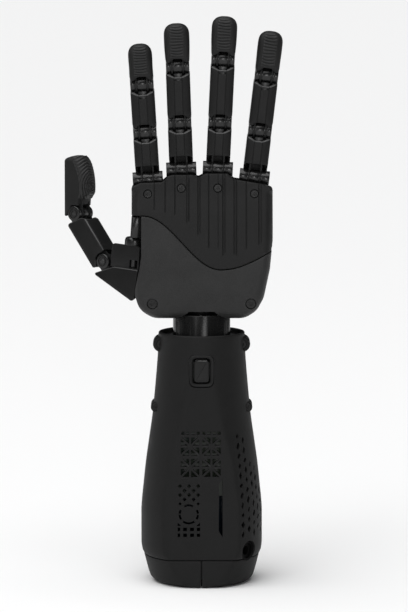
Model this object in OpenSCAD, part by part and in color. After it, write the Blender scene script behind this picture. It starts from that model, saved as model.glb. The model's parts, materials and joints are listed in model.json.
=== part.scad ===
// Left-handed powered prosthetic hand on its forearm housing, in millimetres.
// Origin: centre of the base's bottom face. +Z runs up the forearm, the palm faces -Y, the thumb is on -X.

/* [Forearm] */
// Largest radius of the forearm housing
forearm_r = 37.8; // [36:0.1:40]
// Height of the forearm housing's upper rim
rim_z = 157; // [154:1:158]
// Height of the parting line between the base caps and the shells
cap_z = 17.5; // [16:0.5:19]
// Wall thickness of the forearm shells
shell_wall = 2.2; // [1.8:0.1:2.6]
// Distance of the flat front panel from the forearm's axis, at its foot
panel_y = 30.2; // [29.5:0.1:31]
// Lean of the flat front panel towards the axis, in degrees
panel_lean = 1.1; // [0.5:0.1:2]
// Radius of the round wrist shaft
wrist_r = 17.8; // [16:0.1:18]
// Circle diameter of the four stand holes in the base
stand_pcd = 40; // [36:1:44]

/* [Palm] */
// Height of the palm's lower edge
palm_z = 166; // [166:1:168]
// Wall thickness of the palm covers
cover_wall = 2.2; // [1.8:0.1:2.4]

/* [Fingers] */
// Length of the finger bones between knuckle and middle joint
proximal_len = 29.5; // [27:0.5:31]
// Length of the fingertips from the last joint
tip_len = 26.5; // [25:0.5:28]
// Width of the finger bones
bone_w = 14.8; // [14.4:0.1:15.4]
// Palm-side surface of the finger bones, from the joint axis
palmar = 5.6; // [5.4:0.1:5.8]
// Back surface of the finger bones, from the joint axis
dorsal = 7; // [6.8:0.1:7.6]

/* [Hinges] */
// Radius of the hinge barrels
barrel_r = 4.8; // [4.6:0.1:5]
// Radius of the hinge plates that turn between the barrels
plate_r = 5.2; // [5:0.1:5.3]
// Radius of the hinge pins
pin_r = 1.48; // [1.45:0.01:1.48]

/* [Thumb] */
// Length of the thumb's bone between its two hinges
thumb_len = 36.9; // [35:0.1:38]
// Length of the thumb's tip from its hinge
thumb_tip_len = 36.5; // [34:0.5:38]
// Outward lean of the thumb's bone at rest, in degrees
thumb_lean = 42.5; // [40:0.1:44]
// Outward lean of the thumb's tip at rest, in degrees
thumb_tip_lean = 5; // [3:0.5:7]

// Depth of the thumb's bone behind its hinges
thumb_dorsal = 8.8; // [7:0.1:9]
// Depth of the thumb's pad in front of its hinge
thumb_pad_depth = 9; // [8.5:0.1:10]

/* [Hidden] */
$fn = 64;
FINGERS = ["index", "middle", "ring", "pinky"];
FINGER_PIECES = ["proximal", "middle", "tip", "pad", "pip_pin", "dip_pin", "drive"];

// Knuckle centres, sideways tilts and bone lengths, in the order of FINGERS
knuckle_x = [-33.2, -12.5, 10, 32.6];
knuckle_z = [251.7, 257.6, 258, 252.9];
finger_tilt = [-3.5, -2, 2.7, 6.7];
drive_x = [-26.4, -11.5, 9.5, 30.5];
middle_len = [29.5, 34.5, 38.5, 34];
tip_w = [15, 16, 16, 15.4];
tip_extra = [-1.5, 0, 0, 1];

// Hinge layout across the finger: centre barrel, plate, side barrel
centre_half = 2.6;
plate_in = 2.9;
plate_out = 4.1;
side_in = 4.4;
side_out = 7.2;
knuckle_out = 9.3;
bore_r = pin_r + 0.02;
plate_bore_r = pin_r + 0.07;
relief_r = plate_r + 0.4;
lip = 4.6;
knuckle_lip = 8.7;
pad_half = 4.2;

// Thumb: turning axis, swing of the thumb's plane and place of its first hinge
thumb_foot = [-42, -2, 205];
thumb_tilt = 4;
thumb_swing = 54;
thumb_mcp = [0, 19.1, -6.2];
thumb_w = 14.4;
axle_r = 3;
cavity_r = 12.4;
hub_r = 6.2;
lug_z = 11.4;

// Forearm outline as [radius, height], without its wall
cap_curve = [[27, 0], [30.2, 1.2], [32.4, 4], [34.2, 10], [36.1, cap_z]];
shell_curve = [
    [36.1, cap_z], [37.3, 20.5], [forearm_r, 25], [forearm_r, 44], [37.4, 51], [36.5, 60], [34.9, 75],
    [32.8, 90], [30.7, 105], [29.2, 120], [27.9, 135], [27.2, 145], [26.8, rim_z]
];
ear_x = 25.2;
ear_z = 149.6;
boss_x = 28.2;
boss_z = 110.4;
shaft_flange_r = 21;
shaft_z = 144;
cap_screw_angles = [20, 160, 200, 340];
cap_screw_r = 25;
port_angle = 52;
port_z = 22.5;
port_r = 6.2;
jack_r = 2.8;
window_z = 135.5;
window_w = 15;
window_h = 19.8;
button_w = 10.3;
button_h = 15.3;
stem_z = 136;

// Palm outline seen from the front, and from the side as [depth, height]
palm_outline = [
    [-30, palm_z], [27, palm_z], [34.2, 171], [38.5, 179], [42.3, 197], [44, 215], [44, 246.5],
    [41, 247.5], [37, 249.5], [28, 251], [20, 252.3], [16, 255.8], [2.5, 255.8], [-2, 253.3],
    [-5.6, 255], [-17.5, 255], [-20, 254.5], [-24.5, 250.5], [-37.8, 250], [-43.3, 247.5],
    [-43.3, 215], [-42.4, 181], [-39.5, 172]
];
palm_side = [
    [-14.5, palm_z], [11, palm_z], [13, 180], [13.5, 205], [11.5, 235], [8.5, 258],
    [-8.2, 258], [-8.8, 249], [-15, 224], [-16.6, 200], [-17, 185], [-16.2, 171]
];
split_y = -1;
cover_screw_z = [243.4, 247, 247, 243.6];
cover_screw_r = 1.2;
bolt_r = 1.5;
bolt_x = 30.4;
bolt_z = 176;
seam_left = -36;
seam_low = 12;

// ---- general helpers ----

function unit(v) = v / norm(v);
function inset_corner(a, b, c, d) =
    let (u = unit(b - a), v = unit(c - b), n = [-u.y, u.x], m = [-v.y, v.x])
    b + (n + m) * d / (1 + n * m);
// Outline moved inwards by d; its points run counter-clockwise
function inset(points, d) =
    let (n = len(points))
    [for (i = [0 : n - 1]) inset_corner(points[(i + n - 1) % n], points[i], points[(i + 1) % n], d)];
function arc(centre, rx, ry, a0, a1, steps) =
    [for (i = [0 : steps]) let (a = a0 + (a1 - a0) * i / steps) centre + [rx * cos(a), ry * sin(a)]];
// Height of the wave-shaped seam between the two palm covers at x
function seam_z(x) =
    x < seam_left ? 230 :
    x < seam_low ? 213.5 + 16.5 * cos(180 * (x - seam_left) / (seam_low - seam_left)) :
    197 + 12 * (1 - cos(90 * (x - seam_low) / 32));

// 2D outline in X and Z, extruded from y0 to y1
module slab(y0, y1) translate([0, y1, 0]) rotate([90, 0, 0]) linear_extrude(y1 - y0) children();
// 2D outline in Y and Z, extruded from x0 to x1
module across(x0, x1) translate([x0, 0, 0]) rotate([90, 0, 90]) linear_extrude(x1 - x0) children();
module rod_x(r, x0, x1) translate([x0, 0, 0]) rotate([0, 90, 0]) cylinder(r = r, h = x1 - x0);
module rod_y(r, y0, y1) translate([0, y1, 0]) rotate([90, 0, 0]) cylinder(r = r, h = y1 - y0);
module both_sides() {
    children();
    mirror([1, 0, 0]) children();
}

// ---- hinges: the lower piece carries three barrels, the upper one two plates ----

module barrel(x0, x1, neck) {
    rod_x(barrel_r, x0, x1);
    translate([x0, -3.4, -neck]) cube([x1 - x0, 7.8, neck]);
}
module barrels(half, neck) {
    barrel(-centre_half, centre_half, neck);
    both_sides() barrel(side_in, half, neck);
}
module barrel_bore(half) rod_x(bore_r, -half - 1, half + 1);
module plate_slots() both_sides() rod_x(relief_r, centre_half, side_in);
module plates(reach) both_sides() difference() {
    union() {
        rod_x(plate_r, plate_in, plate_out);
        translate([plate_in, -2.6, 0]) cube([plate_out - plate_in, 7, reach]);
    }
    rod_x(plate_bore_r, 0, side_in);
}
module hinge_pin(half) rod_x(pin_r, -half, half);

// ---- finger pieces, in the finger's own frame: hinge along X, palm side at -Y, bone along Z ----

module bone(length, w, start, thick) {
    difference() {
        across(-w / 2, w / 2) polygon([
            [-palmar, start], [-palmar, length - 8.4], [-3.4, length - 5.6], [thick - 1.5, length - 2.6],
            [thick, length - 3.6], [thick, 1.6], [thick - 1.2, 0.5], [-1.5, start - 0.8]
        ]);
        rod_x(relief_r, -w, w);
        translate([0, 0, length]) plate_slots();
        translate([-1.35, -palmar - 1, length - 12.4]) cube([2.7, 3, 3]);
    }
    plates(start + 2);
}
module finger_bone(length, start) difference() {
    union() {
        bone(length, bone_w, start, dorsal);
        translate([0, 0, length]) barrels(side_out, 9);
    }
    translate([0, 0, length]) barrel_bore(side_out);
    translate([0, 0, length]) plate_slots();
}
// Rounded fingertip without its hinge, standing on the last joint
module tip_blank(w, length) intersection() {
    across(-w / 2, w / 2) polygon(concat(
        [[dorsal - 1, 0.5], [dorsal - 0.2, 1.6]],
        arc([0.4, length - 11], dorsal - 0.6, 11, 0, 180, 14),
        [[-palmar, 4]]
    ));
    slab(-20, 20) polygon(concat(
        [[-w / 2, 0], [w / 2, 0]],
        arc([0, length - w / 2], w / 2, w / 2, 0, 180, 16)
    ));
}
module pad_space(top) translate([-pad_half, -20, 5.6]) cube([2 * pad_half, 20 - 3, top - 5.6]);
module tip_piece(w, length, top) {
    difference() {
        tip_blank(w, length);
        rod_x(relief_r, -w, w);
        pad_space(top);
    }
    plates(6.6);
}
module at_knuckle(i) translate([knuckle_x[i], 0, knuckle_z[i]]) rotate([0, finger_tilt[i], 0]) children();
module at_pip(i) at_knuckle(i) translate([0, 0, proximal_len]) children();
module at_dip(i) at_pip(i) translate([0, 0, middle_len[i]]) children();

module finger_proximal(i) color("#1c1c1d") at_knuckle(i) finger_bone(proximal_len, knuckle_lip);
module finger_middle(i) color("#1c1c1d") at_pip(i) finger_bone(middle_len[i], lip);
module finger_tip(i) color("#1a1a1b") at_dip(i)
    tip_piece(tip_w[i], tip_len + tip_extra[i], tip_len + tip_extra[i] - 3);
module finger_pad(i) color("#121213") at_dip(i) intersection() {
    tip_blank(tip_w[i], tip_len + tip_extra[i]);
    pad_space(tip_len + tip_extra[i] - 3);
}
module finger_pip_pin(i) color("#4a4a4c") at_pip(i) hinge_pin(side_out - 0.2);
module finger_dip_pin(i) color("#4a4a4c") at_dip(i) hinge_pin(side_out - 0.2);
// Small gear motor that winds the finger's tendon, with its drum on top
module finger_drive(i) color("#77787a") translate([drive_x[i], -2.6, 0]) {
    translate([0, 0, 213]) cylinder(r = 5.1, h = 17);
    translate([0, 0, 230]) cylinder(r = 3.4, h = 6);
}

// ---- palm ----

module palm_solid(wall) intersection() {
    slab(-30, 30) polygon(inset(palm_outline, wall));
    across(-60, 60) polygon(inset(palm_side, wall));
}
// The same space inside the covers' walls, open at the top for the knuckles
module palm_inside() {
    palm_solid(cover_wall);
    intersection() {
        translate([-43.3 + cover_wall, -20, 236]) cube([87.3 - 2 * cover_wall, 40, 30]);
        across(-60, 60) polygon([[-9.4, 236], [-6.6, 249], [-6.2, 262], [6.3, 262], [9.2, 236]]);
    }
}
module in_thumb_frame() translate(thumb_foot) rotate([0, thumb_tilt, 0]) rotate([0, 0, thumb_swing]) children();
// Room in which the thumb's bracket turns
module thumb_cavity(r) in_thumb_frame() translate([0, 0, -36]) cylinder(r = r, h = 36 + lug_z - 0.3);
// Room for the knuckle barrels in the covers' side walls
module knuckle_room() for (i = [0 : 3]) at_knuckle(i)
    translate([-knuckle_out - 0.15, -5, -11.2]) cube([2 * knuckle_out + 0.3, 10, 20]);
module palm_shell() difference() {
    palm_solid(0);
    palm_inside();
    knuckle_room();
    thumb_cavity(cavity_r);
    translate([0, 0, palm_z - 1]) cylinder(r = wrist_r + 0.3, h = 6);
    in_thumb_frame() translate([0, 0, lug_z - 0.3]) cylinder(r = 9, h = 14);
}
module above_seam(gap) slab(-40, split_y) polygon(concat(
    [[60, seam_z(44) + gap], [60, 270], [-60, 270], [-60, 230 + gap]],
    [for (x = [seam_left : 4 : 44]) [x, seam_z(x) + gap]]
));
module screw_holes() {
    for (i = [0 : 3]) translate([knuckle_x[i], 0, cover_screw_z[i]]) {
        rod_y(1.3, -20, split_y);
        rod_y(2.3, -20, -8.4);
    }
    for (x = [-bolt_x, bolt_x]) translate([x, 0, bolt_z]) {
        rod_y(1.6, -20, split_y);
        rod_y(2.9, -20, -15);
    }
}
module upper_palm_cover() color("#19191a") difference() {
    intersection() {
        palm_shell();
        above_seam(0);
    }
    screw_holes();
}
module lower_palm_cover() color("#232324") difference() {
    palm_shell();
    above_seam(0);
    translate([-60, split_y, 100]) cube([120, 40, 200]);
    translate([-60, -40, 197]) cube([60 - 37.2, 60, 60]);
    screw_holes();
}
module back_hand_cover() color("#1b1b1c") intersection() {
    palm_shell();
    translate([-60, split_y, 100]) cube([120, 40, 200]);
}
module palm_frame() color("#262627") difference() {
    union() {
        // Knuckle block with its barrels
        intersection() {
            slab(-6.1, 6.1) polygon([
                [-40.9, 236], [41.6, 236], [41.6, 243], [22, 245.5], [20, 249.5], [-22, 249.5],
                [-23.5, 244], [-40.9, 242.5]
            ]);
            palm_inside();
        }
        for (i = [0 : 3]) at_knuckle(i) barrels(knuckle_out, 11);
        // Spine plate behind the drives with the bosses for the palm bolts, and the hub over the wrist shaft
        slab(4.4, 7.2) polygon([
            [-33.4, 173.2], [32, 173.2], [36, 186], [39, 205], [39, 240], [-38, 240], [-38, 219],
            [-26, 214], [-26, 190], [-33.4, 182]
        ]);
        for (x = [-bolt_x, bolt_x]) translate([x, 0, bolt_z]) rod_y(3, -14, 5);
        translate([0, 0, palm_z + 2.5]) cylinder(r = 10.2, h = 8);
        translate([-10, 2, palm_z + 4.5]) cube([20, 5.2, 8]);
        // Lug that holds the thumb's axle
        intersection() {
            in_thumb_frame() translate([0, 0, lug_z]) cylinder(r = 8.5, h = 12.6);
            translate([-43.2, -12, 210]) cube([11.4, 24, 30]);
        }
        translate([-38, 3, 219]) cube([6, 4.2, 9.4]);
    }
    for (i = [0 : 3]) at_knuckle(i) {
        barrel_bore(knuckle_out);
        plate_slots();
    }
    for (i = [0 : 3]) translate([knuckle_x[i], 0, cover_screw_z[i]]) rod_y(cover_screw_r + 0.05, -20, -2);
    for (x = [-bolt_x, bolt_x]) translate([x, 0, bolt_z]) rod_y(bolt_r + 0.05, -20, -4);
    in_thumb_frame() translate([0, 0, lug_z - 1]) cylinder(r = axle_r + 0.05, h = 16);
    thumb_cavity(cavity_r);
    translate([0, 0, palm_z]) cylinder(r = 2.6, h = 16);
}
module palm_board() color("#1f4a33") slab(2.2, 4) translate([-18, 180]) square([50, 26]);
module knuckle_pins() color("#4a4a4c") for (i = [0 : 3]) at_knuckle(i) hinge_pin(knuckle_out - 0.2);
module cover_screws() color("#3a3a3b") for (i = [0 : 3]) translate([knuckle_x[i], 0, cover_screw_z[i]])
    difference() {
        union() {
            rod_y(cover_screw_r, -10, -4);
            rod_y(2.2, -9.9, -8.5);
        }
        for (turn = [0, 90]) rotate([0, turn, 0]) translate([-1.3, -10.5, -0.3]) cube([2.6, 1.4, 0.6]);
    }
module palm_bolts() color("#3a3a3b") for (x = [-bolt_x, bolt_x]) translate([x, 0, bolt_z])
    difference() {
        union() {
            rod_y(bolt_r, -15, -6);
            rod_y(2.8, -16.1, -15);
        }
        translate([0, -15.4, 0]) rotate([90, 0, 0]) cylinder(r = 1.4, h = 2, $fn = 6);
    }
module thumb_drive() color("#77787a") translate([0, -4.5, 185]) {
    rod_x(5, -22, 4);
    rod_x(3.2, -27, -22);
}
module wrist_shaft() color("#161617") difference() {
    union() {
        translate([0, 0, shaft_z + 3.6]) cylinder(r = wrist_r, h = palm_z - shaft_z - 3.6 + 2.5);
        translate([0, 0, shaft_z]) cylinder(r = shaft_flange_r, h = 3.6);
        translate([0, 0, shaft_z - 9]) cylinder(r = 4, h = 10);
    }
    translate([0, 0, 150]) cylinder(r = 2.6, h = 20);
}

// ---- thumb, in its own frame: hinges along X, outwards at +Y, turning axis at the origin ----

module at_thumb_mcp() in_thumb_frame() translate(thumb_mcp) children();
module at_thumb_bone() at_thumb_mcp() rotate([-thumb_lean, 0, 0]) children();
module at_thumb_ip() at_thumb_bone() translate([0, 0, thumb_len]) children();
module at_thumb_tip() at_thumb_ip() rotate([thumb_lean - thumb_tip_lean, 0, 0]) children();

module thumb_bracket() color("#1c1c1d") in_thumb_frame() difference() {
    union() {
        across(-thumb_w / 2, -side_in) polygon([
            [24.4, -13.9], [9.9, -8.3], [-9, -8.2], [-7.6, -26], [-5, -28], [24, -15.3]
        ]);
        across(side_in, thumb_w / 2) polygon([
            [24.4, -13.9], [14, -4], [12, 3.2], [-8, 3.8], [-8, -25], [-5, -28], [24, -15.3]
        ]);
        across(-side_in - 1, side_in + 1) polygon([
            [16, -17], [12.5, -9.4], [10.5, -6.4], [9, 1.5], [2, 1.5], [2, -24]
        ]);
        translate([0, 0, -24.6]) cylinder(r = hub_r, h = 24.2 + lug_z);
        translate(thumb_mcp) rotate([-45, 0, 0]) barrels(thumb_w / 2 - 0.3, 9);
    }
    translate(thumb_mcp) {
        barrel_bore(thumb_w / 2);
        plate_slots();
    }
    translate([0, 0, -30]) cylinder(r = axle_r + 0.02, h = 60);
}
module thumb_axle() color("#6a6a6c") in_thumb_frame() translate([0, 0, -24]) cylinder(r = axle_r, h = 24 + lug_z + 12);
module thumb_base_pin() color("#4a4a4c") at_thumb_mcp() hinge_pin(thumb_w / 2 - 0.1);
module thumb_link() color("#1c1c1d") at_thumb_bone() difference() {
    union() {
        bone(thumb_len, thumb_w, 5.2, thumb_dorsal);
        translate([0, 0, thumb_len]) barrels(side_out, 9);
    }
    translate([0, 0, thumb_len]) {
        barrel_bore(side_out);
        plate_slots();
    }
}
module thumb_tip_pin() color("#4a4a4c") at_thumb_ip() hinge_pin(side_out - 0.1);
// Side outline of the thumb's tip: flat back, deep rounded pad side
module thumb_blank() intersection() {
    across(-thumb_w / 2, thumb_w / 2) polygon(concat(
        [[6.8, -2.2], [7.4, 4]],
        arc([0, thumb_tip_len - 19], 7.4, 19, 0, 90, 6),
        arc([0, thumb_tip_len - 19], -thumb_pad_depth, 19, 90, 0, 9),
        [[0.3 - thumb_pad_depth, 12], [1.6 - thumb_pad_depth, 8], [-5, 6.2]]
    ));
    slab(-20, 20) polygon(concat(
        [[-thumb_w / 2, -4], [thumb_w / 2, -4]],
        arc([0, thumb_tip_len - thumb_w / 2], thumb_w / 2, thumb_w / 2, 0, 180, 16)
    ));
}
module thumb_pad_space() across(-5.2, 5.2) polygon([
    [-20, 9.4], [-5.4, 9.4], [-5, 22], [-1, thumb_tip_len - 2], [-20, thumb_tip_len - 2]
]);
module thumb_tip() color("#1a1a1b") at_thumb_tip() {
    difference() {
        thumb_blank();
        rod_x(relief_r, -thumb_w, thumb_w);
        thumb_pad_space();
    }
    plates(7.4);
}
module thumb_pad() color("#121213") at_thumb_tip() intersection() {
    thumb_blank();
    thumb_pad_space();
}

// ---- forearm ----

function shrunk(curve, wall) = [for (p = curve) [p.x - wall, p.y]];
module turned(curve) rotate_extrude() polygon(concat([[0, curve[0].y]], curve, [[0, curve[len(curve) - 1].y]]));
// Everything behind the flat front panel, set back by wall
module behind_panel(wall) rotate([-panel_lean, 0, 0]) translate([-60, -panel_y + wall, -5]) cube([120, 120, 200]);
module ear(x, z) translate([x, 0, z]) rod_y(5, -7.5, 7.5);
module side_boss(x) translate([x, 0, boss_z]) rod_y(3.4, -9, 9);
module shell_solid() {
    intersection() {
        turned(shell_curve);
        behind_panel(0);
    }
    for (x = [-1, 1]) {
        ear(x * ear_x, ear_z);
        side_boss(x * boss_x);
    }
}
module shell_hollow() difference() {
    intersection() {
        turned(concat([[34, cap_z - 1]], shrunk(shell_curve, shell_wall), [[24.5, rim_z + 1]]));
        behind_panel(shell_wall);
    }
    for (x = [-1, 1]) translate([x * ear_x, 0, ear_z]) rod_y(3.2, -9, 9);
    for (x = [-1, 1]) translate([x * boss_x, 0, boss_z]) rod_y(3.4, -9, 9);
    for (a = cap_screw_angles) rotate(a) translate([cap_screw_r, 0, cap_z - 2]) {
        cylinder(r = 4, h = 12);
        translate([0, -2.5, 0]) cube([12, 5, 12]);
    }
}
module shell_holes() {
    for (x = [-1, 1]) {
        translate([x * ear_x, 0, ear_z]) rod_y(1.3, -9, 9);
        translate([x * ear_x, 0, ear_z]) rod_y(2.7, -9, -6);
        translate([x * boss_x, 0, boss_z]) rod_y(1.3, -12, 12);
        translate([x * boss_x, 0, boss_z]) rod_y(2.5, -12, -7.5);
    }
    for (a = cap_screw_angles) rotate(a) translate([cap_screw_r, 0, cap_z - 3]) cylinder(r = 1.3, h = 10);
}
module forearm_shell() difference() {
    shell_solid();
    shell_hollow();
    shell_holes();
}
// Eight triangles round a centre, cut through the front wall
module star_tile(size) for (a = [0 : 45 : 315]) rotate(a + 22.5)
    polygon([[1.2, 0], [size * 0.47, -size * 0.13], [size * 0.47, size * 0.13]]);
module diamond(w, h) polygon([[-w / 2, 0], [0, -h / 2], [w / 2, 0], [0, h / 2]]);
module front_vents() {
    for (x = [-7.2, 6.2], z = [88.8, 75.6]) translate([x, z]) star_tile(12.8);
    for (i = [-3 : 3]) translate([i * 3.8 - 0.5, 97.2]) square([2.4, 2.4], center = true);
    for (row = [0 : 4], i = [0 : 2 - row % 2])
        translate([-13.4 + (row % 2) * 2.8 + i * 5.6, 64 - row * 2.8]) diamond(2.2, 2.6);
    for (a = [20 : 45 : 335]) translate([-7.9, 46.6]) rotate(a) translate([5.6, 0]) square([2, 2.8], center = true);
    for (row = [0 : 1], i = [0 : 3]) translate([-12.7 + i * 3.3, 37.2 - row * 3.4]) square([2.2, 2.2], center = true);
    polygon([[10.5, 35], [13, 32.4], [13, 68], [10.5, 65.6]]);
}
// Rising columns of small diamond holes on the outer side
module side_vents() for (column = [0 : 3], row = [0 : 9 - column * 2])
    rotate(-90 + 46 + column * 9) translate([20, 0, 34 + row * 6.4 + (column % 2) * 3.2])
        rotate([0, 90, 0]) linear_extrude(22) diamond(4.6, 3.4);
// Hole for the charging socket, which also bites into the cap below
module port_hole() rotate(-90 + port_angle) translate([0, 0, port_z]) {
    rod_x(port_r + 0.2, 20, 50);
    rod_x(8.3, 24, 31.4);
}
module forearm_front_shell() color("#1d1d1e") difference() {
    intersection() {
        forearm_shell();
        translate([-60, -60, 0]) cube([120, 60, 200]);
    }
    slab(-60, -20) front_vents();
    side_vents();
    translate([-window_w / 2, -60, window_z - window_h / 2]) cube([window_w, 50, window_h]);
    port_hole();
}
module forearm_back_shell() color("#1d1d1e") intersection() {
    forearm_shell();
    translate([-60, 0, 0]) cube([120, 60, 200]);
}
module cap_half() difference() {
    intersection() {
        turned(cap_curve);
        behind_panel(0);
        translate([0, -60, -1]) cube([60, 120, 60]);
    }
    difference() {
        translate([0, 0, 4]) turned([[30, 0], [31.4, 6], [33, cap_z]]);
        for (a = [-45, 45]) rotate(a) translate([stand_pcd / 2, 0, 0]) cylinder(r = 5, h = 9);
        for (a = [-20, 20]) rotate(a) translate([cap_screw_r, 0, 0]) cylinder(r = 4, h = cap_z - 2);
        translate([0, -60, 0]) cube([1.6, 120, 60]);
    }
    for (a = [-45, 45]) rotate(a) translate([stand_pcd / 2, 0, -1]) cylinder(r = 1.65, h = 9);
    for (a = [-20, 20]) rotate(a) translate([cap_screw_r, 0, -1]) {
        cylinder(r = 1.6, h = 30);
        cylinder(r = 3, h = 4.2);
    }
}
module base_cap_right() color("#1d1d1e") difference() {
    cap_half();
    port_hole();
}
module base_cap_left() color("#1d1d1e") mirror([1, 0, 0]) cap_half();
module cap_screws() color("#3a3a3b") for (a = cap_screw_angles) rotate(a) translate([cap_screw_r, 0, 0.6])
    difference() {
        union() {
            cylinder(r = 1.2, h = 21);
            cylinder(r = 2.8, h = 2.4);
        }
        translate([0, 0, -0.5]) cylinder(r = 1.4, h = 1.8, $fn = 6);
    }
module shell_screws() color("#3a3a3b") for (x = [-1, 1]) {
    translate([x * ear_x, 0, ear_z]) shell_screw(-6.2);
    translate([x * boss_x, 0, boss_z]) shell_screw(-7.8);
}
module shell_screw(y) difference() {
    union() {
        rod_y(1.2, y, 6);
        rod_y(2.4, y - 1.2, y + 0.2);
    }
    translate([0, y - 0.4, 0]) rotate([90, 0, 0]) cylinder(r = 1.3, h = 2, $fn = 6);
}
// Ring between the shells in which the wrist shaft turns
module wrist_bearing() color("#2b2b2c") difference() {
    translate([0, 0, shaft_z + 4]) cylinder(r = 24.2, h = rim_z - shaft_z - 6);
    translate([0, 0, shaft_z]) cylinder(r = wrist_r + 0.06, h = 20);
    for (x = [-1, 1]) translate([x * ear_x, 0, ear_z]) rod_y(3.6, -12, 12);
}
module wrist_motor() color("#77787a") difference() {
    union() {
        translate([0, 0, 98]) cylinder(r = 14, h = 34);
        translate([0, 0, 132]) cylinder(r = 8, h = 8);
        translate([0, 0, 128]) cylinder(r = 15.4, h = 4);
    }
    translate([0, 0, 134]) cylinder(r = 4.06, h = 20);
}
module battery_pack() color("#35506e") for (x = [-1, 1]) translate([x * 10.4, 6, 20]) cylinder(r = 9.2, h = 66);
// Circuit board with its processor and the switch behind the power button
module control_board() color("#1f4a33") {
    slab(-17.6, -16) translate([-15, 56]) square([30, 84]);
    slab(-16, -14.4) translate([-8, 64]) square([16, 16]);
    slab(-19.6, -17.6) translate([-3, stem_z - 2]) square([6, 4]);
}
module charge_port() color("#2b2b2c") rotate(-90 + port_angle) translate([0, 0, port_z]) difference() {
    union() {
        rod_x(port_r, 22, 36);
        rod_x(8, 26, 31);
    }
    rod_x(port_r - 1.4, 34.6, 40);
    rod_x(jack_r, 25.6, 40);
}
module button_bezel() color("#161617") difference() {
    union() {
        translate([-window_w / 2 + 0.2, -27.4, window_z - window_h / 2 + 0.2])
            cube([window_w - 0.4, 5.4, window_h - 0.4]);
        translate([-8, -23.3, window_z - 10.9]) cube([16, 1.4, 21.8]);
    }
    translate([-button_w / 2, -40, window_z - button_h / 2]) cube([button_w, 40, button_h]);
}
module power_button() color("#0c0c0d") {
    translate([-button_w / 2 + 0.3, -26.6, window_z - button_h / 2 + 0.3])
        cube([button_w - 0.6, 3.4, button_h - 0.6]);
    translate([0, 0, stem_z]) rod_y(1.8, -23.4, -21);
}

forearm_front_shell();
forearm_back_shell();
base_cap_left();
base_cap_right();
shell_screws();
cap_screws();
wrist_bearing();
wrist_motor();
battery_pack();
control_board();
charge_port();
button_bezel();
power_button();
wrist_shaft();
palm_frame();
palm_board();
upper_palm_cover();
lower_palm_cover();
back_hand_cover();
cover_screws();
palm_bolts();
knuckle_pins();
thumb_drive();
thumb_bracket();
thumb_axle();
thumb_base_pin();
thumb_link();
thumb_tip_pin();
thumb_tip();
thumb_pad();
for (i = [0 : 3]) {
    finger_proximal(i);
    finger_middle(i);
    finger_tip(i);
    finger_pad(i);
    finger_pip_pin(i);
    finger_dip_pin(i);
    finger_drive(i);
}
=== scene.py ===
"""Looks for the left-handed powered prosthetic hand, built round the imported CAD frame.

Sizes are written in millimetres in the row frame (+Z up the forearm, palm towards -Y, thumb on -X)
and turned into metres when a mesh is made.
"""
import json
import math

import bmesh
import bpy
import numpy as np
from mathutils import Matrix, Vector
from mathutils.geometry import delaunay_2d_cdt


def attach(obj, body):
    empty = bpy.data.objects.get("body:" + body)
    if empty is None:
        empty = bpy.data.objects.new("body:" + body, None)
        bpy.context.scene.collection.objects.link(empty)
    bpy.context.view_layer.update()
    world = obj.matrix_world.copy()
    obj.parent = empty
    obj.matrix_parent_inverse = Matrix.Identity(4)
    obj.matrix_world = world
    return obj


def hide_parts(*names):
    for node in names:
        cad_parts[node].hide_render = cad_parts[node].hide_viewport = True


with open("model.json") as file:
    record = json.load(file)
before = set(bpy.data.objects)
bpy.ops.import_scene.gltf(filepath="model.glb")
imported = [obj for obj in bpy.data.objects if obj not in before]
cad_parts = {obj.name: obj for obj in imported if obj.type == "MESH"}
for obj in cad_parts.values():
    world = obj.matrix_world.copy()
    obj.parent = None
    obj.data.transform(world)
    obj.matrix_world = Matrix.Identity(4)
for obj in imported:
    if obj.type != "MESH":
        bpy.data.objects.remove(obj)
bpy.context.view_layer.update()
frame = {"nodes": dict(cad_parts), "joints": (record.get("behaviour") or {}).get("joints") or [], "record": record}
NODES = frame["nodes"]
RECORD = frame["record"]
BODY_OF = {node: body for body, nodes in RECORD["behaviour"]["bodies"].items() for node in nodes}
MM = 0.001
SLOT_OF = {part["node"]: part["material_slot"] for part in RECORD["subparts"]}
JOINTS = {joint["name"]: joint for joint in frame["joints"]}
FINGERS = ("index", "middle", "ring", "pinky")


def place_of(joint):
    """A joint's own place in millimetres."""
    return Vector(JOINTS[joint]["pos_m"]) / MM


def hinge_frame(joint):
    """Frame of a finger's hinge: X along its pin, palm side at -Y, Z along the finger."""
    x = Vector(JOINTS[joint]["axis"]).normalized()
    y = Vector((0, 1, 0))
    z = x.cross(y)
    made = Matrix((x, y, z)).transposed().to_4x4()
    made.translation = place_of(joint)
    return made


def thumb_frame(joint=None, lean=0.0):
    """Frame of the thumb: hinges along X, outwards at +Y. With a joint it stands there, leaning outwards."""
    z = -Vector(JOINTS["thumb_opposition"]["axis"]).normalized()
    x = Vector(JOINTS["thumb_flexion"]["axis"]).normalized()
    made = Matrix((x, z.cross(x), z)).transposed().to_4x4()
    made.translation = place_of(joint or "thumb_opposition")
    return made @ Matrix.Rotation(math.radians(-lean), 4, "X")


THUMB = thumb_frame()


# ---- materials ----

def node_at(tree, kind, **sockets):
    """A shader node of this kind with the named sockets set."""
    made = tree.nodes.new(kind)
    for name, value in sockets.items():
        made.inputs[name.replace("_", " ")].default_value = value
    return made


def maths_at(tree, operation, second=None):
    """A maths node, with its second input set where a number is given."""
    made = tree.nodes.new("ShaderNodeMath")
    made.operation = operation
    if second is not None:
        made.inputs[1].default_value = second
    return made


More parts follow.
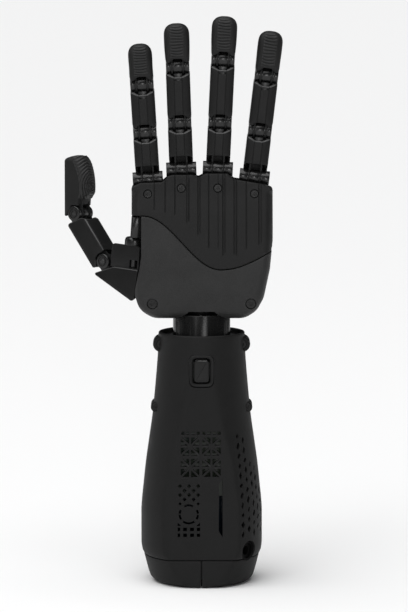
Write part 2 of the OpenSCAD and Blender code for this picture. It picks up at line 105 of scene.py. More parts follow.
def plastic(name, dark, light, rough, grain=2600.0, bump=0.25, depth=0.00012, spread=0.1, metallic=0.0,
            coat=0.0, wear=0.25, wear_colour=(0.10, 0.10, 0.105), stretch=(1, 1, 1), specular=0.16):
    """A moulded, printed or machined finish: mottled colour, grain in the roughness and bump, worn edges."""
    material = bpy.data.materials.new(name)
    material.use_nodes = True
    tree = material.node_tree
    shader = tree.nodes["Principled BSDF"]
    shader.inputs["Metallic"].default_value = metallic
    shader.inputs["Coat Weight"].default_value = coat
    shader.inputs["Coat Roughness"].default_value = 0.12
    shader.inputs["Specular IOR Level"].default_value = specular
    link = tree.links.new
    where = tree.nodes.new("ShaderNodeTexCoord")
    scaled = tree.nodes.new("ShaderNodeMapping")
    scaled.inputs["Scale"].default_value = stretch
    link(where.outputs["Object"], scaled.inputs["Vector"])
    fine = node_at(tree, "ShaderNodeTexNoise", Scale=grain, Detail=3.0, Roughness=0.65)
    broad = node_at(tree, "ShaderNodeTexNoise", Scale=grain / 28, Detail=4.0, Roughness=0.6)
    cells = node_at(tree, "ShaderNodeTexVoronoi", Scale=grain / 1.6)
    for texture in (fine, broad, cells):
        link(scaled.outputs["Vector"], texture.inputs["Vector"])
    # Colour: fine speckle over broad mottling
    blend = node_at(tree, "ShaderNodeMapRange", From_Min=0.3, From_Max=0.72)
    mixed = maths_at(tree, "MULTIPLY_ADD", 0.6)
    link(fine.outputs["Fac"], mixed.inputs[0])
    weak = maths_at(tree, "MULTIPLY", 0.4)
    link(broad.outputs["Fac"], weak.inputs[0])
    link(weak.outputs[0], mixed.inputs[2])
    link(mixed.outputs[0], blend.inputs["Value"])
    colour = tree.nodes.new("ShaderNodeMix")
    colour.data_type = "RGBA"
    colour.inputs["A"].default_value = (*dark, 1)
    colour.inputs["B"].default_value = (*light, 1)
    link(blend.outputs["Result"], colour.inputs["Factor"])
    # Wear: convex edges rub a little lighter, broken up by the mottling
    shape = tree.nodes.new("ShaderNodeNewGeometry")
    edges = node_at(tree, "ShaderNodeMapRange", From_Min=0.53, From_Max=0.66, To_Max=wear)
    link(shape.outputs["Pointiness"], edges.inputs["Value"])
    broken = maths_at(tree, "MULTIPLY")
    link(edges.outputs["Result"], broken.inputs[0])
    link(broad.outputs["Fac"], broken.inputs[1])
    worn = tree.nodes.new("ShaderNodeMix")
    worn.data_type = "RGBA"
    worn.inputs["B"].default_value = (*wear_colour, 1)
    link(broken.outputs[0], worn.inputs["Factor"])
    link(colour.outputs["Result"], worn.inputs["A"])
    link(worn.outputs["Result"], shader.inputs["Base Color"])
    # Roughness varies with both textures
    polish = node_at(
        tree, "ShaderNodeMapRange", From_Min=0.3, From_Max=0.75, To_Min=rough - spread, To_Max=rough + spread,
    )
    link(mixed.outputs[0], polish.inputs["Value"])
    link(polish.outputs["Result"], shader.inputs["Roughness"])
    # Bump: the grain of the finish, with small cells under it
    relief = node_at(tree, "ShaderNodeBump", Strength=bump, Distance=depth)
    height = maths_at(tree, "MULTIPLY_ADD", 0.5)
    link(cells.outputs["Distance"], height.inputs[0])
    link(fine.outputs["Fac"], height.inputs[2])
    link(height.outputs[0], relief.inputs["Height"])
    link(relief.outputs["Normal"], shader.inputs["Normal"])
    return material


def grey(value):
    return (value, value, value)


FINISH = {
    "housing_black": plastic("housing", grey(0.0060), grey(0.0115), 0.60, grain=2300, bump=0.35),
    "cover_black": plastic("cover", grey(0.0090), grey(0.0150), 0.56, grain=2500, bump=0.28),
    "bone_black": plastic("bone", grey(0.0062), grey(0.0105), 0.46, grain=2900, bump=0.22),
    "tip_black": plastic("tip", grey(0.0085), grey(0.0140), 0.54, grain=2600, bump=0.3),
    "grip_rubber": plastic("grip", grey(0.0095), grey(0.0150), 0.50, grain=3000, bump=0.3, wear=0.1,
                           specular=0.3),
    "screw_black": plastic("screw", grey(0.016), grey(0.030), 0.38, grain=5200, bump=0.08, metallic=1.0,
                           wear_colour=grey(0.2)),
    "pin_steel": plastic("pin", grey(0.05), grey(0.08), 0.34, grain=5000, bump=0.06, metallic=1.0,
                         wear_colour=grey(0.2), stretch=(0.15, 1, 1)),
    "motor_metal": plastic("motor", grey(0.32), grey(0.42), 0.36, grain=4200, bump=0.1, metallic=1.0,
                           wear_colour=grey(0.7), stretch=(1, 1, 0.12)),
    "board_green": plastic("board", (0.003, 0.012, 0.007), (0.004, 0.016, 0.009), 0.38, grain=3600, bump=0.2,
                           coat=0.4, wear_colour=(0.3, 0.25, 0.1)),
    "battery_wrap": plastic("battery", (0.004, 0.008, 0.014), (0.006, 0.011, 0.018), 0.30, grain=1800, bump=0.1,
                            coat=0.5, wear_colour=(0.2, 0.3, 0.4)),
    "gloss_black": plastic("gloss", grey(0.0035), grey(0.0050), 0.16, grain=3000, bump=0.03, spread=0.03,
                           coat=0.15, wear=0.1),
}
# Near black with little shine, for the charging port: painted shade for the inside of its recess.
RECESS_PAINTED_SHADE = plastic("recess", grey(0.0015), grey(0.0030), 0.60, grain=2600, bump=0.2, specular=0.06, wear=0.02)
# Speckled finish of the lower palm cover, made lighter overall than the upper cover as a painted sheen for the
# highlight on the thumb-side swelling.
PALM_SPARKLE_PAINTED_SHEEN = plastic("palm_sparkle_painted_sheen", grey(0.0150), grey(0.0340), 0.52, grain=2100, bump=0.5, spread=0.14)
SATIN = plastic("satin", grey(0.0040), grey(0.0070), 0.27, grain=4200, bump=0.08, spread=0.05,
                stretch=(1, 1, 0.2), specular=0.25)
BARREL = plastic("barrel", grey(0.0050), grey(0.0085), 0.25, grain=3600, bump=0.08, spread=0.05, specular=0.4,
                 wear=0.05)
# A lighter grey for upward-facing chamfers, rims and bevels: a painted highlight where light from above catches
# them.
PAINTED_HIGHLIGHT_EDGE = plastic("painted_highlight_edge", grey(0.024), grey(0.038), 0.42, grain=3600, bump=0.12, spread=0.08,
                      specular=0.4)


# ---- camera, light and floor ----

CAMERA_PLACE = Vector((0.0015, -1.9, 0.405))
CAMERA_TARGET = Vector((0.0015, 0, 0.1727))
CAMERA_VIEW = math.radians(11.36)
LIGHTS_AIM = (0, 0, 0.2)
FLOOR_HALF = 30


def placed(name, data, place):
    """A new object for this camera or light, in the scene."""
    made = bpy.data.objects.new(name, data)
    bpy.context.scene.collection.objects.link(made)
    made.location = place
    return made


def aimed(obj, place, target):
    obj.rotation_euler = (Vector(target) - Vector(place)).to_track_quat("-Z", "Y").to_euler()


def camera():
    made = bpy.data.cameras.new("camera")
    made.sensor_fit = "VERTICAL"
    made.sensor_height = 36
    made.sensor_width = 36
    made.lens = 18 / math.tan(CAMERA_VIEW / 2)
    made.clip_end = 200
    eye = placed("camera", made, CAMERA_PLACE)
    aimed(eye, CAMERA_PLACE, CAMERA_TARGET)
    bpy.context.scene.camera = eye


def softbox(name, place, width, height, power):
    light = bpy.data.lights.new(name, "AREA")
    light.shape = "RECTANGLE"
    light.size, light.size_y, light.energy = width, height, power
    aimed(placed(name, light, place), place, LIGHTS_AIM)


def overhead_light():
    """One broad light from overhead keeps the floor pale and even, and the upright faces dark."""
    light = bpy.data.lights.new("overhead", "SUN")
    light.energy = 3.3
    light.angle = math.radians(70)
    placed("overhead", light, (0, 0, 0)).rotation_euler = (math.radians(12), math.radians(-10), 0)


def surroundings():
    """They light the object dimly, and are pale where they are seen."""
    world = bpy.data.worlds.new("world")
    world.use_nodes = True
    tree = world.node_tree
    around = tree.nodes["Background"]
    around.inputs["Color"].default_value = (0.95, 0.97, 1.0, 1)
    around.inputs["Strength"].default_value = 0.07
    seen = tree.nodes.new("ShaderNodeBackground")
    seen.inputs["Color"].default_value = (1.0, 1.0, 1.0, 1)
    mix = tree.nodes.new("ShaderNodeMixShader")
    path = tree.nodes.new("ShaderNodeLightPath")
    tree.links.new(path.outputs["Is Camera Ray"], mix.inputs[0])
    tree.links.new(around.outputs[0], mix.inputs[1])
    tree.links.new(seen.outputs[0], mix.inputs[2])
    tree.links.new(mix.outputs[0], tree.nodes["World Output"].inputs["Surface"])
    bpy.context.scene.world = world


def pale_floor():
    corners = [(x * FLOOR_HALF, y * FLOOR_HALF, 0) for x, y in ((-1, -1), (1, -1), (1, 1), (-1, 1))]
    mesh = bpy.data.meshes.new("floor")
    mesh.from_pydata(corners, [], [(0, 1, 2, 3)])
    paper = bpy.data.materials.new("paper")
    paper.use_nodes = True
    shader = paper.node_tree.nodes["Principled BSDF"]
    shader.inputs["Base Color"].default_value = (0.88, 0.88, 0.88, 1)
    shader.inputs["Roughness"].default_value = 0.9
    mesh.materials.append(paper)
    placed("floor", mesh, (0, 0, 0))


def studio():
    bpy.context.scene.view_settings.view_transform = "Standard"
    camera()
    softbox("key", (-0.95, -1.45, 1.0), 0.7, 0.8, 3.2)
    softbox("front", (0.1, -2.4, 0.55), 0.3, 0.5, 7.6)
    for name, x in (("left_edge", -1.5), ("right_edge", 1.5)):
        softbox(name, (x, 0.55, 0.5), 0.4, 1.3, 1.1)
    overhead_light()
    surroundings()
    pale_floor()


# ---- mesh tools, in millimetres until settle() ----

def new_object(name, points, faces):
    """A closed mesh object in millimetres, with its faces turned outwards."""
    mesh = bpy.data.meshes.new(name)
    mesh.from_pydata([tuple(p) for p in points], [], [tuple(f) for f in faces])
    work = bmesh.new()
    work.from_mesh(mesh)
    bmesh.ops.remove_doubles(work, verts=work.verts, dist=1e-4)
    bmesh.ops.dissolve_degenerate(work, edges=work.edges, dist=1e-4)
    bmesh.ops.recalc_face_normals(work, faces=work.faces)
    work.to_mesh(mesh)
    work.free()
    made = bpy.data.objects.new(name, mesh)
    bpy.context.scene.collection.objects.link(made)
    return made


def moved(obj, matrix):
    """Turns and shifts the mesh itself."""
    obj.data.transform(matrix)
    return obj


def joined(name, parts):
    """One object holding the meshes of several, which are removed."""
    work = bmesh.new()
    for part in parts:
        work.from_mesh(part.data)
        bpy.data.objects.remove(part)
    mesh = bpy.data.meshes.new(name)
    work.to_mesh(mesh)
    work.free()
    made = bpy.data.objects.new(name, mesh)
    bpy.context.scene.collection.objects.link(made)
    return made


def applied(obj):
    """Makes the modifiers' result the object's own mesh."""
    result = bpy.data.meshes.new_from_object(obj.evaluated_get(bpy.context.evaluated_depsgraph_get()))
    obj.modifiers.clear()
    obj.data = result
    return obj


def boolean(obj, tools, operation="DIFFERENCE"):
    """Cuts the tools from obj, or fuses them to it, and removes them."""
    for tool in tools:
        step = obj.modifiers.new("boolean", "BOOLEAN")
        step.object = tool
        step.operation = operation
        step.solver = "EXACT"
    applied(obj)
    for tool in tools:
        bpy.data.objects.remove(tool)
    return obj


def settle(obj, node, finish=None, crease=32.0, extra=()):
    """Turns a finished millimetre mesh into the visible piece that stands for a CAD node.
    extra holds the materials of the faces whose material index is 1, 2 and so on."""
    name = node + "_visual"
    obj.name = name
    obj.data.name = name
    obj.data.transform(Matrix.Scale(MM, 4))
    for polygon in obj.data.polygons:
        polygon.use_smooth = True
    obj.data.set_sharp_from_angle(angle=math.radians(crease))
    for material in (finish or FINISH[SLOT_OF[node]], *extra):
        obj.data.materials.append(material)
    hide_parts(node)
    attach(obj, BODY_OF[node])
    return obj


def skin(name, rings, caps=True):
    """A surface through rings of equally many points, with flat ends."""
    count = len(rings[0])
    points = [p for ring in rings for p in ring]
    faces = [
        (r * count + i, r * count + (i + 1) % count, (r + 1) * count + (i + 1) % count, (r + 1) * count + i)
        for r in range(len(rings) - 1)
        for i in range(count)
    ]
    if caps:
        faces.append(tuple(range(count)))
        faces.append(tuple(range((len(rings) - 1) * count, len(rings) * count)))
    return new_object(name, points, faces)


def area2(outline):
    """Twice the signed area, above zero where the outline runs counter-clockwise."""
    return sum(a[0] * b[1] - b[0] * a[1] for a, b in zip(outline, outline[1:] + outline[:1]))


def inset(outline, distance, limit=0.35):
    """The outline moved inwards; it runs counter-clockwise. limit keeps sharp corners from running far in."""
    moved_in = []
    count = len(outline)
    for i in range(count):
        a, b, c = Vector(outline[i - 1]), Vector(outline[i]), Vector(outline[(i + 1) % count])
        u, v = (b - a).normalized(), (c - b).normalized()
        n, m = Vector((-u.y, u.x)), Vector((-v.y, v.x))
        moved_in.append(tuple(b + (n + m) * (distance / max(limit, 1 + n.dot(m)))))
    return moved_in


def round_corners(outline, radius, steps=5):
    """Replaces each corner with an arc. radius is a number, or one number a corner."""
    made = []
    count = len(outline)
    for i in range(count):
        size = radius[i] if isinstance(radius, (list, tuple)) else radius
        a, b, c = Vector(outline[i - 1]), Vector(outline[i]), Vector(outline[(i + 1) % count])
        u, v = (a - b), (c - b)
        turn = math.pi - u.angle(v)
        if turn < math.radians(4) or size <= 0:
            made.append(tuple(b))
            continue
        cut = min(size * math.tan(turn / 2), 0.48 * u.length, 0.48 * v.length)
        start, end = b + u.normalized() * cut, b + v.normalized() * cut
        for k in range(steps + 1):
            t = k / steps
            made.append(tuple((1 - t) ** 2 * start + 2 * t * (1 - t) * b + t * t * end))
    return made


def prism(name, outline, low, high, edge=0.5, steps=3, place=None):
    """A slab of this outline (u, v) from w = low to high, with rounded edges.
    place maps (u, v, w) to a point; without it the slab runs along Y."""
    if area2(outline) < 0:
        outline = outline[::-1]
    place = place or (lambda u, v, w: (u, w, v))
    rings = []
    quarters = [k / steps * math.pi / 2 for k in range(steps + 1)]
    levels = [(edge * (1 - math.sin(a)), edge * (1 - math.cos(a))) for a in quarters]
    for back, up in levels:
        rings.append([place(u, v, low + up) for u, v in inset(outline, back)])
    for back, up in reversed(levels):
        rings.append([place(u, v, high - up) for u, v in inset(outline, back)])
    return skin(name, rings)


def along_x(u, v, w):
    """For prisms whose outline is (y, z) and that run along x."""
    return (w, u, v)


def circle(radius, steps=40, centre=(0, 0)):
    turns = [2 * math.pi * i / steps for i in range(steps)]
    return [(centre[0] + radius * math.cos(a), centre[1] + radius * math.sin(a)) for a in turns]


def rounded_box_outline(width, height, radius, centre=(0, 0), steps=6):
    w, h = width / 2, height / 2
    corners = [(-w, -h), (w, -h), (w, h), (-w, h)]
    return [(x + centre[0], z + centre[1]) for x, z in round_corners(corners, radius, steps)]


def turned(name, profile, steps=64):
    """A solid of revolution about Z from a closed profile of (radius, z)."""
    rings = []
    for i in range(steps):
        a = math.radians(360 * i / steps)
        rings.append([(r * math.cos(a), r * math.sin(a), z) for r, z in profile])
    return skin(name, rings + [rings[0]], caps=False)


def smooth_at(curve, t):
    """Value of a smooth curve through (t, value) pairs, without overshoot."""
    if t <= curve[0][0]:
        return curve[0][1]
    if t >= curve[-1][0]:
        return curve[-1][1]
    slopes = [(b[1] - a[1]) / (b[0] - a[0]) for a, b in zip(curve, curve[1:])]
    ends = [slopes[0]]
    for s0, s1 in zip(slopes, slopes[1:]):
        ends.append(0.0 if s0 * s1 <= 0 else 2 * s0 * s1 / (s0 + s1))
    ends.append(slopes[-1])
    for i, (a, b) in enumerate(zip(curve, curve[1:])):
        if t <= b[0]:
            h = b[0] - a[0]
            s = (t - a[0]) / h
            return (
                a[1] * (1 + 2 * s) * (1 - s) ** 2 + ends[i] * h * s * (1 - s) ** 2
                + b[1] * s * s * (3 - 2 * s) - ends[i + 1] * h * s * s * (1 - s)
            )


def lerp(a, b, t):
    return a + (b - a) * t


def clamped(t):
    return min(max(t, 0), 1)


def rounding(share, power):
    """Falls from 1 to 0 along a rounded end, as share goes from 0 to 1."""
    return (1 - share ** power) ** (1 / power)


# ---- forearm ----

CAP_Z = 17.5
RIM_Z = 157.0
WALL = 2.2
PANEL_Y = 30.2
PANEL_SLOPE = math.tan(math.radians(1.1))
SHELL_CURVE = [
    (CAP_Z, 36.1), (20.5, 37.3), (25, 37.8), (44, 37.8), (51, 37.4), (60, 36.5), (75, 34.9), (90, 32.8),
    (105, 30.7), (120, 29.2), (135, 27.9), (145, 27.2), (RIM_Z, 26.8),
]
CAP_CURVE = [(0, 27), (0.45, 28.6), (1.2, 30.2), (4, 32.4), (10, 34.2), (CAP_Z, 36.1)]
EAR = (25.2, 149.6)
BOSS = (28.2, 110.4)
WINDOW_Z = 135.5
PORT_TURN = math.radians(-90 + 52)
PORT_Z = 22.5


def flattened(radius, angle, z, back=0.0):
    """Radius of the housing at this angle, where the flat front panel cuts the round body with a soft edge."""
    toward_front = -math.sin(angle)
    if toward_front < 0.3:
        return radius
    panel = (PANEL_Y - PANEL_SLOPE * z - back) / toward_front
    blend = 0.7
    h = clamped(0.5 + 0.5 * (panel - radius) / blend)
    return lerp(panel, radius, h) - blend * h * (1 - h)


def shell_profile():
    """Stations (outwards offset, z) up the outside, over the rim and down the inside."""
    outside = [(-0.5, CAP_Z + 0.2), (-0.15, CAP_Z + 0.35), (0, CAP_Z + 0.7)]
    z = CAP_Z + 2.4
    while z < RIM_Z - 2:
        outside.append((0, z))
        z += 2.2
    outside += [(0, RIM_Z - 0.9), (-0.12, RIM_Z - 0.4), (-0.4, RIM_Z - 0.1), (-0.8, RIM_Z)]
    inside = [(-1.6, RIM_Z), (-WALL, RIM_Z - 0.5)]
    z = RIM_Z - 4
    while z > CAP_Z + 2:
        inside.append((-WALL, z))
        z -= 4.5
    return outside + inside + [(-WALL, CAP_Z + 0.2)]


def cap_profile():
    """The same for the base cap, from its foot to the parting line and back down inside."""
    outside = [(-8.0, 0.0), (-1.2, 0.0), (-0.35, 0.12), (0, 0.6)]
    outside += [(0, z) for z in (1.2, 2, 3, 4, 5.5, 7, 8.5, 10, 12, 14, 15.6, CAP_Z - 0.7)]
    lip = [(-0.15, CAP_Z - 0.35), (-0.5, CAP_Z - 0.2), (-1.6, CAP_Z - 0.2)]
    return outside + lip + [(-2.4, CAP_Z - 1.2), (-2.6, 4.4), (-8, 4.2)]


def half_wall(name, profile, curve, start, gap, steps, ends, outer_from, side=1):
    """Half a turn of wall as one closed solid, from the angle start, with softened edges along the split.
    ends has the last three rings at each end, outermost first: how far along the wall and how far drawn in.
    Only the points of the profile beyond outer_from are drawn in."""
    rings = []
    for i in range(-2, steps + 3):
        near_end = min(i, steps - i) + 2
        ring = []
        for out, z in profile:
            base = smooth_at(curve, z)
            first, last = start + gap / base, start + math.pi - gap / base
            if near_end < 3:
                along, soft = ends[near_end]
                angle = first + along / base if i < steps / 2 else last - along / base
            else:
                edge, soft = ends[2][0] / base, 0.0
                angle = lerp(first + edge, last - edge, i / steps)
            radius = flattened(base, angle, z) + out - (soft if out > outer_from else 0)
            ring.append((side * radius * math.cos(angle), radius * math.sin(angle), z))
        rings.append(ring)
    return skin(name, rings)


def star_vents():
    """Outlines of the square star vent: four tiles of eight triangles under a row of squares."""
    outlines = []
    tile, bar = 12.6, 0.62
    for cx in (-7.1, 6.1):
        for cz in (88.9, 75.6):
            for k in range(8):
                # One right triangle: a spoke towards an edge's middle, and one towards a corner
                spokes = [(0, 0)]
                for turn in (k, k + 1):
                    a = math.radians(45 * turn)
                    reach = tile / 2 if turn % 2 == 0 else tile / math.sqrt(2)
                    spokes.append(tuple(Vector((math.cos(a), math.sin(a))) * reach))
                outlines.append([(cx + x, cz + z) for x, z in inset(spokes, bar, limit=0)])
    low, high = 96.3, 98.2
    for x, w, lean in ((-11.6, 2.3, 0.9), (-8.5, 1.8, 0), (-5.2, 2.0, 0), (-2.1, 1.8, 0), (1.5, 1.8, 0),
                       (4.6, 2.2, 0), (8.0, 2.1, 0), (10.9, 1.8, -0.7)):
        outlines.append([(x - w / 2, low), (x + w / 2, low), (x + w / 2 + max(lean, 0) * 0.3, high),
                         (x - w / 2 + lean, high)])
    return outlines


def ring_arc(centre, inner, outer, first, last, steps):
    """Outline of one arc of a flat ring, between two angles in degrees."""
    turns = [math.radians(lerp(first, last, k / steps)) for k in range(steps + 1)]
    there = [(centre[0] + outer * math.cos(a), centre[1] + outer * math.sin(a)) for a in turns]
    back = [(centre[0] + inner * math.cos(a), centre[1] + inner * math.sin(a)) for a in reversed(turns)]
    return there + back


def lattice_vents():
    """Outlines of the lower vent: diamonds, a broken ring, corner triangles and two rows of squares."""
    outlines = []
    for row in range(5):
        for i in range(3 - row % 2):
            if row == 4 and i == 1:
                continue
            x, z = -13.3 + (row % 2) * 2.8 + i * 5.6, 64.2 - row * 2.75
            w = 1.25 if row < 4 else 1.0
            outlines.append([(x - w, z), (x, z - w * 1.1), (x + w, z), (x, z + w * 1.1)])
    centre = (-7.9, 46.6)
    for first, last, steps in ((62, 118, 6), (-128, -52, 8), (152, 176, 3), (182, 214, 4), (4, 28, 3),
                               (-32, -4, 4)):
        outlines.append(ring_arc(centre, 5.0, 6.3, first, last, steps))
    for side in (-1, 1):
        x = centre[0] + side * 6.9
        outlines.append([(x, 39.3), (x - side * 2.2, 39.3), (x, 41.4)])
    for z in (37.2, 33.5):
        for x, w in ((-14.0, 1.5), (-10.2, 2.3), (-5.9, 2.4), (-1.9, 2.0)):
            left, right = x - w / 2, x + w / 2
            outlines.append([(left, z - 1.1), (right, z - 1.1), (right, z + 1.1), (left, z + 1.1)])
    return outlines


def slab_tool(name, outline, low, high):
    """A plain straight cutter through the panel."""
    if area2(outline) < 0:
        outline = outline[::-1]
    return skin(name, [[(x, y, z) for x, z in outline] for y in (low, high)])


def side_tool(name, outline, angle, z, low, high):
    """A straight cutter that points outwards at this angle. Its outline is (sideways, up)."""
    across = Vector((-math.sin(angle), math.cos(angle), 0))
    out = Vector((math.cos(angle), math.sin(angle), 0))
    return skin(name, [
        [tuple(out * depth + across * u + Vector((0, 0, z + v))) for u, v in outline] for depth in (low, high)
    ])


def side_vent_tools():
    """Rising columns of small slanted holes round the outer side of the front shell."""
    tools = []
    for column in range(5):
        angle = math.radians(-90 + 43 + column * 8.4)
        count = 11 - (column * 3) // 2
        for row in range(count):
            z = 33.5 + row * 6.1 + (column % 2) * 3.05
            if z > 98 - column * 3:
                continue
            tall = 2.1 + 0.5 * math.sin(row * 2.3 + column)
            wide = 1.35 + 0.25 * math.sin(row * 1.7 + column * 2.1)
            lean = 0.5 * math.sin(row * 1.3 + column)
            outline = [(-wide, -0.4 + lean), (-0.1, -tall), (wide, 0.3 - lean), (0.2, tall)]
            tools.append(side_tool(f"side_vent_{column}_{row}", outline, angle, z, 27, 45))
    return tools


def cylinder_tool(name, radius, start, end, steps=48):
    """A cylinder between two points."""
    axis = (Vector(end) - Vector(start))
    turn = axis.to_track_quat("Z", "Y").to_matrix().to_4x4()
    base = [Vector((x, y, 0)) for x, y in circle(radius, steps)]
    rings = [[tuple(turn @ (p + Vector((0, 0, h))) + Vector(start)) for p in base] for h in (0, axis.length)]
    return skin(name, rings)


def port_tool():
    """Cutter for the charging recess, which is low on the right."""
    out = Vector((math.cos(PORT_TURN), math.sin(PORT_TURN), 0))
    up = Vector((0, 0, PORT_Z))
    return cylinder_tool("port", 6.45, out * 20 + up, out * 50 + up, 64)


def lobe(name, centre, radius, depth, edge, front):
    """Rounded screw lobe that bridges the two shells at the parting line."""
    outline = circle(radius, 48, centre)
    low, high = (-depth, -0.1) if front else (0.1, depth)
    return prism(name, outline, low, high, edge, 5)


def seam_strip(side):
    """Strip of the front shell behind its parting line, which closes the view through the housing."""
    rings = []
    for z in (98, 104, 110, 116, 122, 128):
        wall = smooth_at(SHELL_CURVE, z) - WALL
        section = [(wall + 0.2, -2.0), (wall + 0.2, -0.4), (wall - 0.04, -0.4), (wall - 0.04, 0.7),
                   (wall - 0.6, 0.7), (wall - 0.6, -2.0)]
        rings.append([(side * x, y, z) for x, y in section])
    return skin("strip", rings)


def front_tools():
    """Cutters for the front shell: screw holes, window, vents and charging recess."""
    tools = []
    for side in (-1, 1):
        x, z = side * EAR[0], EAR[1]
        tools.append(cylinder_tool("sink", 2.75, (x, -9, z), (x, -6, z)))
        tools.append(cylinder_tool("bore", 1.35, (x, -7, z), (x, 0, z)))
        x, z = side * BOSS[0], BOSS[1]
        tools.append(cylinder_tool("sink", 2.5, (x, -12, z), (x, -7.6, z)))
    tools.append(prism("window", rounded_box_outline(15.6, 20.4, 4.6, (0, WINDOW_Z)), -40, -20, 0))
    slot = [(10.6, 36.0), (13.0, 32.2), (13.0, 68.6), (10.6, 65.2)]
    for outline in star_vents() + lattice_vents() + [slot]:
        tools.append(slab_tool("vent", outline, -40, -20))
    return tools + side_vent_tools() + [port_tool()]


def forearm_shell(front):
    name = "forearm_front_shell" if front else "forearm_back_shell"
    start = math.pi if front else 0.0
    ends = [(0.0, 0.55), (0.12, 0.16), (0.45, 0.0)]
    body = half_wall(name, shell_profile(), SHELL_CURVE, start, 0.10, 96, ends, -WALL + 0.3)
    lobes = []
    for side in (-1, 1):
        lobes.append(lobe("ear", (side * EAR[0], EAR[1]), 5.0, 7.5, 1.6, front))
        lobes.append(lobe("boss", (side * BOSS[0], BOSS[1]), 3.4, 9.0, 1.2, front))
    boolean(body, lobes, "UNION")
    if front:
        boolean(body, [joined("tools", front_tools())])
        body = joined(name, [body, seam_strip(-1), seam_strip(1)])
    settle(body, name, crease=33)


def split_tongue(facing):
    """Strip behind the split between the base caps, which closes the view through it.
    facing is -1 at the front and 1 at the back."""
    rings = []
    for z in (4.6, 7, 9.5, 12, 14, CAP_Z - 0.4):
        radius = flattened(smooth_at(CAP_CURVE, z), facing * math.pi / 2, z)
        outer, inner = facing * (radius - 2.55), facing * (radius - 3.3)
        rings.append([(-0.5, outer, z), (2.0, outer, z), (2.0, inner, z), (-0.5, inner, z)])
    return skin("tongue", rings)


def foot_plate(side):
    """The foot inside the base cap's wall, with two stand holes and two screw recesses."""
    arc = [(side * 27 * math.cos(math.radians(a)), 27 * math.sin(math.radians(a))) for a in range(-88, 89, 4)]
    plate = prism("plate", arc, 0.0, 4.1, 0.2, 2, place=lambda u, v, w: (u, v, w))
    holes = []
    for reach, turn, radius, top in ((20, 45, 1.65, 6), (25, 20, 3.0, 3.2)):
        for a in (math.radians(-turn), math.radians(turn)):
            x, y = side * reach * math.cos(a), reach * math.sin(a)
            holes.append(cylinder_tool("hole", radius, (x, y, -1), (x, y, top), 32))
    boolean(plate, [joined("holes", holes)])
    return plate


def base_cap(side):
    """Half of the base cap, from its foot up to the parting line."""
    name = "base_cap_right" if side > 0 else "base_cap_left"
    ends = [(0.0, 0.6), (0.15, 0.2), (0.5, 0.0)]
    wall = half_wall(name, cap_profile(), CAP_CURVE, -math.pi / 2, 0.28, 90, ends, -2.3, side)
    pieces = [wall, foot_plate(side)]
    if side > 0:
        boolean(wall, [port_tool()])
        pieces += [split_tongue(-1), split_tongue(1)]
    settle(joined(name, pieces), name, crease=33)


def window_parts():
    """Bezel with a sloping inner rim, and the glossy button in it."""
    outer = rounded_box_outline(15.2, 20.0, 4.4, (0, WINDOW_Z), 8)
    inner = rounded_box_outline(10.5, 15.5, 2.6, (0, WINDOW_Z), 8)
    mouth = rounded_box_outline(11.9, 16.9, 3.3, (0, WINDOW_Z), 8)
    crown = rounded_box_outline(14.2, 19.0, 4.0, (0, WINDOW_Z), 8)

    def at(outline, y):
        return [(x, y, z) for x, z in outline]

    bezel = skin("bezel", [
        at(outer, -22.2), at(outer, -26.8), at(inset(outer, 0.12), -27.1), at(crown, -27.35),
        at(mouth, -27.1), at(inset(mouth, 0.35), -26.7), at(inner, -25.0), at(inner, -22.2), at(outer, -22.2),
    ], caps=False)
    settle(bezel, "button_bezel", FINISH["housing_black"], crease=40)
    face = rounded_box_outline(9.7, 14.7, 2.3, (0, WINDOW_Z), 8)
    button = skin("button", [
        at(face, -23.2), at(face, -25.6), at(inset(face, 0.15), -26.05), at(inset(face, 0.5), -26.35),
        at(inset(face, 1.1), -26.5), at(inset(face, 2.0), -26.45),
    ])
    stem = cylinder_tool("stem", 1.8, (0, -23.4, 136), (0, -21, 136), 32)
    settle(joined("button", [button, stem]), "power_button", FINISH["gloss_black"], crease=40)


# ---- palm covers ----

PALM_OUTLINE = [
    (-30, 166), (27, 166), (34.2, 171), (38.5, 179), (42.3, 197), (44, 215), (44, 246.5), (41, 247.5),
    (37, 249.5), (28, 251), (20, 252.3), (16, 255.8), (2.5, 255.8), (-2, 253.3), (-5.6, 255),
    (-17.5, 255), (-20, 254.5), (-24.5, 250.5), (-37.8, 250), (-43.3, 247.5), (-43.3, 215), (-42.4, 181),
    (-39.5, 172),
]
PALM_CORNERS = [
    12, 12, 12, 14, 16, 16, 2.4, 1.5, 2, 3, 1.4, 1.4, 1.4, 1.6, 1.2, 1.4, 1.6, 1.4, 3, 2.4, 12, 14, 12,
]
PALM_FRONT = [
    (160, -13.6), (166, -14.5), (171, -16.0), (185, -17), (200, -16.6), (224, -15), (249, -8.8), (258, -8.2),
]
PALM_BACK = [(160, 9.5), (166, 11), (180, 13), (205, 13.5), (235, 11.5), (258, 8.5)]
SPLIT_Y = -1.0
SEAM_LEFT, SEAM_LOW = -36.0, 12.0
GROOVES = [
    (-29.1, 233, 1.0), (-22.4, 231, 1.0), (-16.4, 230, 1.0), (-9.1, 225, 0.8), (-7.8, 226, 1.0),
    (-2.2, 218, 1.0), (-0.9, 219, 0.7), (4.4, 210, 1.1), (10.3, 209.5, 0.45), (13.1, 205.5, 1.0),
    (14.4, 206.5, 0.6), (20.1, 206, 1.0), (21.5, 205.5, 1.1), (27.6, 209.5, 1.1), (35.3, 212, 1.0),
    (36.8, 213, 0.7),
]
SCREWS = [(-33.2, 243.4), (-12.5, 247), (10, 247), (32.6, 243.6)]
BOLTS = [(-30.4, 176), (30.4, 176)]
SEAM_GAP = 0.28
GROOVE_LINES = (-0.42, -0.2, 0.2, 0.42)
SMALL_EDGE = 0.9


def seam_z(x):
    """Height of the wave-shaped seam between the upper and lower covers."""
    if x < SEAM_LEFT:
        return 230.0
    if x < SEAM_LOW:
        return 213.5 + 16.5 * math.cos(math.pi * (x - SEAM_LEFT) / (SEAM_LOW - SEAM_LEFT))
    return 197 + 12 * (1 - math.cos(math.pi / 2 * (x - SEAM_LOW) / 32))


